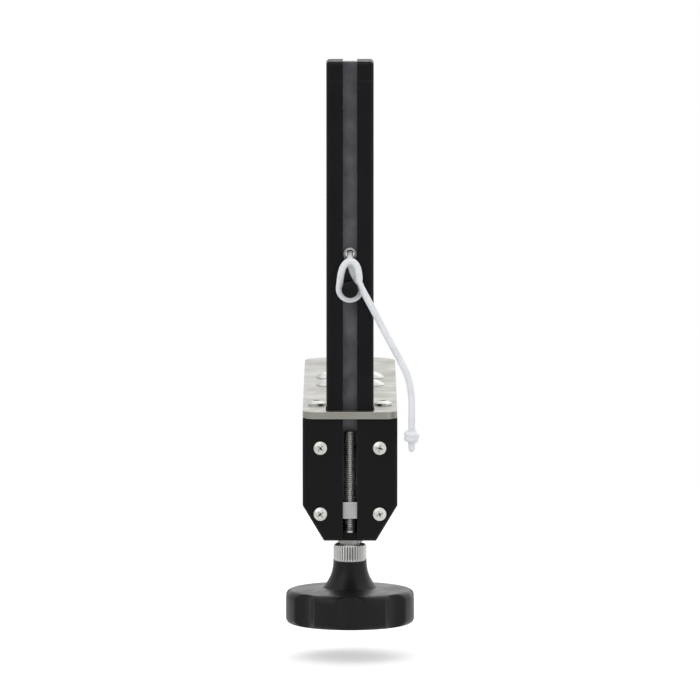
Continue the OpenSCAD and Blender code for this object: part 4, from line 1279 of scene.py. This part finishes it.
@dataclass
class ClampScrew:
    """The M12 clamp screw and the black knob that turns it."""

    body: str = "clamp_screw"
    radius: float = 6 * MM
    pitch: float = 1.75 * MM
    tip_radius: float = 4 * MM
    tip_length: float = 7 * MM
    neck_radius: float = 7.4 * MM
    hub_radius: float = 12 * MM
    neck_height: float = 13 * MM
    rim_radius: float = 29 * MM
    rim_round: float = 3.5 * MM
    rim_wall: float = 5 * MM
    deck: float = 5 * MM
    cap_height: float = 1.5 * MM
    scallops: int = 8
    scallop_radius: float = 9 * MM
    scallop_depth: float = 2.5 * MM
    scallop_edge: float = 1.2 * MM
    rib_wide: float = 2 * MM
    rib_bite: float = 1 * MM
    hub_draft: float = 0.5 * MM
    inner_round: float = 1 * MM
    foot_round: float = 0.8 * MM
    neck_chamfer: float = 0.7 * MM
    neck_power: float = 2.6
    side_steps: int = 8
    neck_steps: int = 24
    tip_chamfer: float = 0.6 * MM
    tip_bite: float = 1 * MM
    cap_edge: float = 0.3 * MM
    pin_edge: float = 0.25 * MM

    def outline(self, low: float, high: float) -> list[Pair]:
        """The knob's half outline, from the middle of its foot round to the middle of its top.

        Args:
            low: height of the knob's foot.
            high: height of the knob's top.

        Returns:
            (radius, height) pairs.
        """
        rim_top = high - self.neck_height
        inner = self.rim_radius - self.rim_wall
        under = rim_top - self.deck
        outer = self.rim_radius - self.rim_round
        outline = [(0, low + self.cap_height), (self.hub_radius - self.hub_draft, low + self.cap_height)]
        outline += arc((self.hub_radius + self.inner_round, under - self.inner_round), self.inner_round, 180, 90)
        outline += arc((inner - self.inner_round, under - 2 * self.inner_round), self.inner_round, 90, 0)
        outline += arc((inner + self.foot_round, low + self.foot_round), self.foot_round, 180, 270)
        outline += arc((outer, low + self.rim_round), self.rim_round, -90, 0, 10)
        steps = self.side_steps
        bottom, top = low + self.rim_round, rim_top - self.inner_round - self.rim_round
        outline += [(self.rim_radius, bottom + (top - bottom) * i / steps) for i in range(1, steps)]
        outline += arc((outer, top), self.rim_round, 0, 90, 10)
        for i in range(self.neck_steps + 1):
            share = 1 - i / self.neck_steps
            outline.append((self.neck_radius + (self.hub_radius - self.neck_radius) * share ** self.neck_power,
                            high - self.neck_height * share))
        outline[-1] = (self.neck_radius, high - self.neck_chamfer)
        return outline + [(self.neck_radius - self.neck_chamfer, high), (0, high)]

    def knob(self) -> None:
        """The knob, with finger scallops round its rim and ribs under it."""
        low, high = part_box("knob")
        axis = (low + high) / 2
        base = turned("knob_base", self.outline(low.z, high.z), (0, 0), KNOB_BLACK, 240)
        tree = PartTree("scalloped_knob", base=True)
        count = tree.size("Scallops", float(self.scallops))
        round_off = tree.size("Scallop edge", self.scallop_edge)
        ball = tree.size("Scallop radius", self.scallop_radius)
        depth = tree.size("Scallop depth", self.scallop_depth)
        reach = tree.minus(tree.sum("ADD", tree.size("Rim radius", self.rim_radius), ball), depth)
        radius, turn, _ = tree.polar()
        part = tree.minus(tree.sum("FRACT", tree.sum("MULTIPLY_ADD", turn, count, 0.5)), 0.5)
        angle = tree.times(tree.sum("DIVIDE", part, count), TURN)
        aside = tree.times(reach, tree.sum("SINE", angle))
        room = tree.minus(tree.times(ball, ball), tree.times(aside, aside))
        chord = tree.sum("SQRT", tree.sum("MAXIMUM", room, 0.0))
        cut = tree.minus(tree.times(reach, tree.sum("COSINE", angle)), chord)
        shape = tree.at_radius(tree.entry.outputs["Base"], tree.sum("SMOOTH_MIN", radius, cut, round_off))
        inner, foot = self.rim_radius - self.rim_wall, low.z + self.cap_height + self.rib_bite
        top = high.z - self.neck_height - self.deck
        size = (inner - self.hub_radius + 2 * self.rib_bite, self.rib_wide, top - foot)
        rib = tree.add("GeometryNodeMeshCube", {"Size": size}).outputs[0]
        rib = tree.moved(rib, ((inner + self.hub_radius) / 2, 0, (foot + top) / 2))
        ribs = [tree.moved(rib, turn=(0, 0, TURN * (i + 0.5) / self.scallops)) for i in range(self.scallops)]
        piece = tree.piece("scalloped_knob", tree.join(shape, *ribs), KNOB_BLACK, base, (axis.x, axis.y, 0))
        seat(piece, self.body, KNOB_BLACK, "knob")

    def screw(self) -> None:
        """The threaded shank and its plain tip, which turns in the pressure plate."""
        low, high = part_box("clamp_screw")
        centre = axis_of(low, high)
        shoulder = high.z - self.tip_length
        thread = Thread(self.radius, self.pitch, shoulder - low.z, 56)
        seat(thread.build("clamp_thread", (*centre, low.z)), self.body, GROOVED_STEEL, "clamp_screw")
        foot, chamfer = shoulder - self.tip_bite, self.tip_chamfer
        tip = turned("screw_tip", [(0, foot), (self.tip_radius, foot), (self.tip_radius, high.z - chamfer),
                                   (self.tip_radius - chamfer, high.z), (0, high.z)], centre, TURNED_STEEL, 48)
        seat(tip, self.body, TURNED_STEEL)

    def build(self) -> None:
        """Makes the screw, the knob, its cap and its pin."""
        self.screw()
        self.knob()
        dress(self.body, KNOB_BLACK, self.cap_edge, "knob_cap")
        dress(self.body, BRIGHT_STEEL, self.pin_edge, "knob_pin")


# ---------------------------------------------------------------- studio


@dataclass
class Studio:
    """A pale floor, soft lamps and a camera that looks along the net, slightly from above."""

    eye: Point = (0, -4.08, 0.443)
    target: Point = (0, -0.06, 0.021)
    field_height: float = 0.302
    sensor: float = 36
    clip_end: float = 40
    floor_z: float = -0.125
    floor_radius: float = 0.75
    floor_glow: float = 0.42
    floor_fade: Pair = (0.35, 0.95)
    world_light: float = 0.52
    lamps: tuple[tuple[str, Point, float, float], ...] = (
        ("key", (-1.1, -1.5, 1.7), 3.2, 28),
        ("fill", (1.7, -1.2, 0.7), 3.2, 12),
        ("top", (0.2, 0.3, 2.0), 3.6, 17),
        ("back", (0.9, 1.7, 1.0), 3.0, 14),
    )

    def floor(self) -> None:
        """A round pale floor that fades out before its rim."""
        steps = 96
        points = [(self.floor_radius * math.cos(TURN * i / steps),
                   self.floor_radius * math.sin(TURN * i / steps), self.floor_z) for i in range(steps)]
        mesh = bpy.data.meshes.new("floor")
        mesh.from_pydata(points, [], [tuple(range(steps))])
        floor = placed("floor", mesh)
        shader = Shader("floor_paper", (0.82, 0.82, 0.82), 0.9, 0)
        shader.fixed(Specular_IOR_Level=0.1)
        strength = shader.times(shader.background_rays(), self.floor_glow)
        glow = shader.add("ShaderNodeEmission", {"Color": (1, 1, 1, 1), "Strength": strength})
        lit = shader.add("ShaderNodeAddShader", {0: shader.surface.outputs[0], 1: glow.outputs[0]})
        clear = shader.add("ShaderNodeBsdfTransparent")
        far = shader.add("ShaderNodeVectorMath", {0: shader.place}, operation="LENGTH").outputs["Value"]
        behind = shader.add("ShaderNodeNewGeometry").outputs["Backfacing"]
        rim = shader.between(far, *(share * self.floor_radius for share in self.floor_fade))
        fade = shader.sum("MAXIMUM", rim, behind)
        mixed = shader.add("ShaderNodeMixShader", {0: fade, 1: lit.outputs[0], 2: clear.outputs[0]})
        shader.links.new(mixed.outputs[0], shader.nodes["Material Output"].inputs["Surface"])
        mesh.materials.append(shader.material)

    def world(self) -> None:
        """A white surrounding that lights the object only softly."""
        world = bpy.data.worlds.new("pale_room")
        bpy.context.scene.world = world
        world.use_nodes = True
        kit, background = NodeKit(world.node_tree), world.node_tree.nodes["Background"].inputs
        kit.links.new(kit.between(kit.background_rays(), 0, 1, (self.world_light, 1)), background["Strength"])
        background["Color"].default_value = (1, 1, 1, 1)

    def aimed(self, name: str, data: bpy.types.ID, place: Point) -> Piece:
        """Sets a lamp or camera in its place, turned to the target."""
        thing = placed(name, data)
        thing.location = place
        thing.rotation_euler = (Vector(self.target) - Vector(place)).to_track_quat("-Z", "Y").to_euler()
        return thing

    def lights(self) -> None:
        """Large soft lamps, all turned to the object."""
        for name, place, width, power in self.lamps:
            lamp = bpy.data.lights.new(name, "AREA")
            lamp.shape = "DISK"
            lamp.size = width
            lamp.energy = power
            self.aimed(name, lamp, place)

    def camera(self) -> None:
        """A long lens that stands level with the net's end, a little above it."""
        data = bpy.data.cameras.new("camera")
        data.sensor_width = self.sensor
        data.lens = self.sensor * (Vector(self.target) - Vector(self.eye)).length / self.field_height
        data.clip_end = self.clip_end
        bpy.context.scene.camera = self.aimed("camera", data, self.eye)

    def build(self) -> None:
        """Sets the camera, the lamps, the floor and the surroundings."""
        bpy.context.scene.view_settings.view_transform = "Standard"
        self.camera()
        self.lights()
        self.floor()
        self.world()


def main() -> None:
    """Builds the studio and every sub-assembly."""
    logging.basicConfig(level=logging.INFO, format="%(name)s: %(message)s")
    Studio().build()
    for assembly in (NetCord(), Arm(), JawFrame(), PostSocket(), HeightSpindle(), NetPost(),
                     PressurePad(), ClampScrew()):
        assembly.build()


if __name__ == "__main__":
    main()
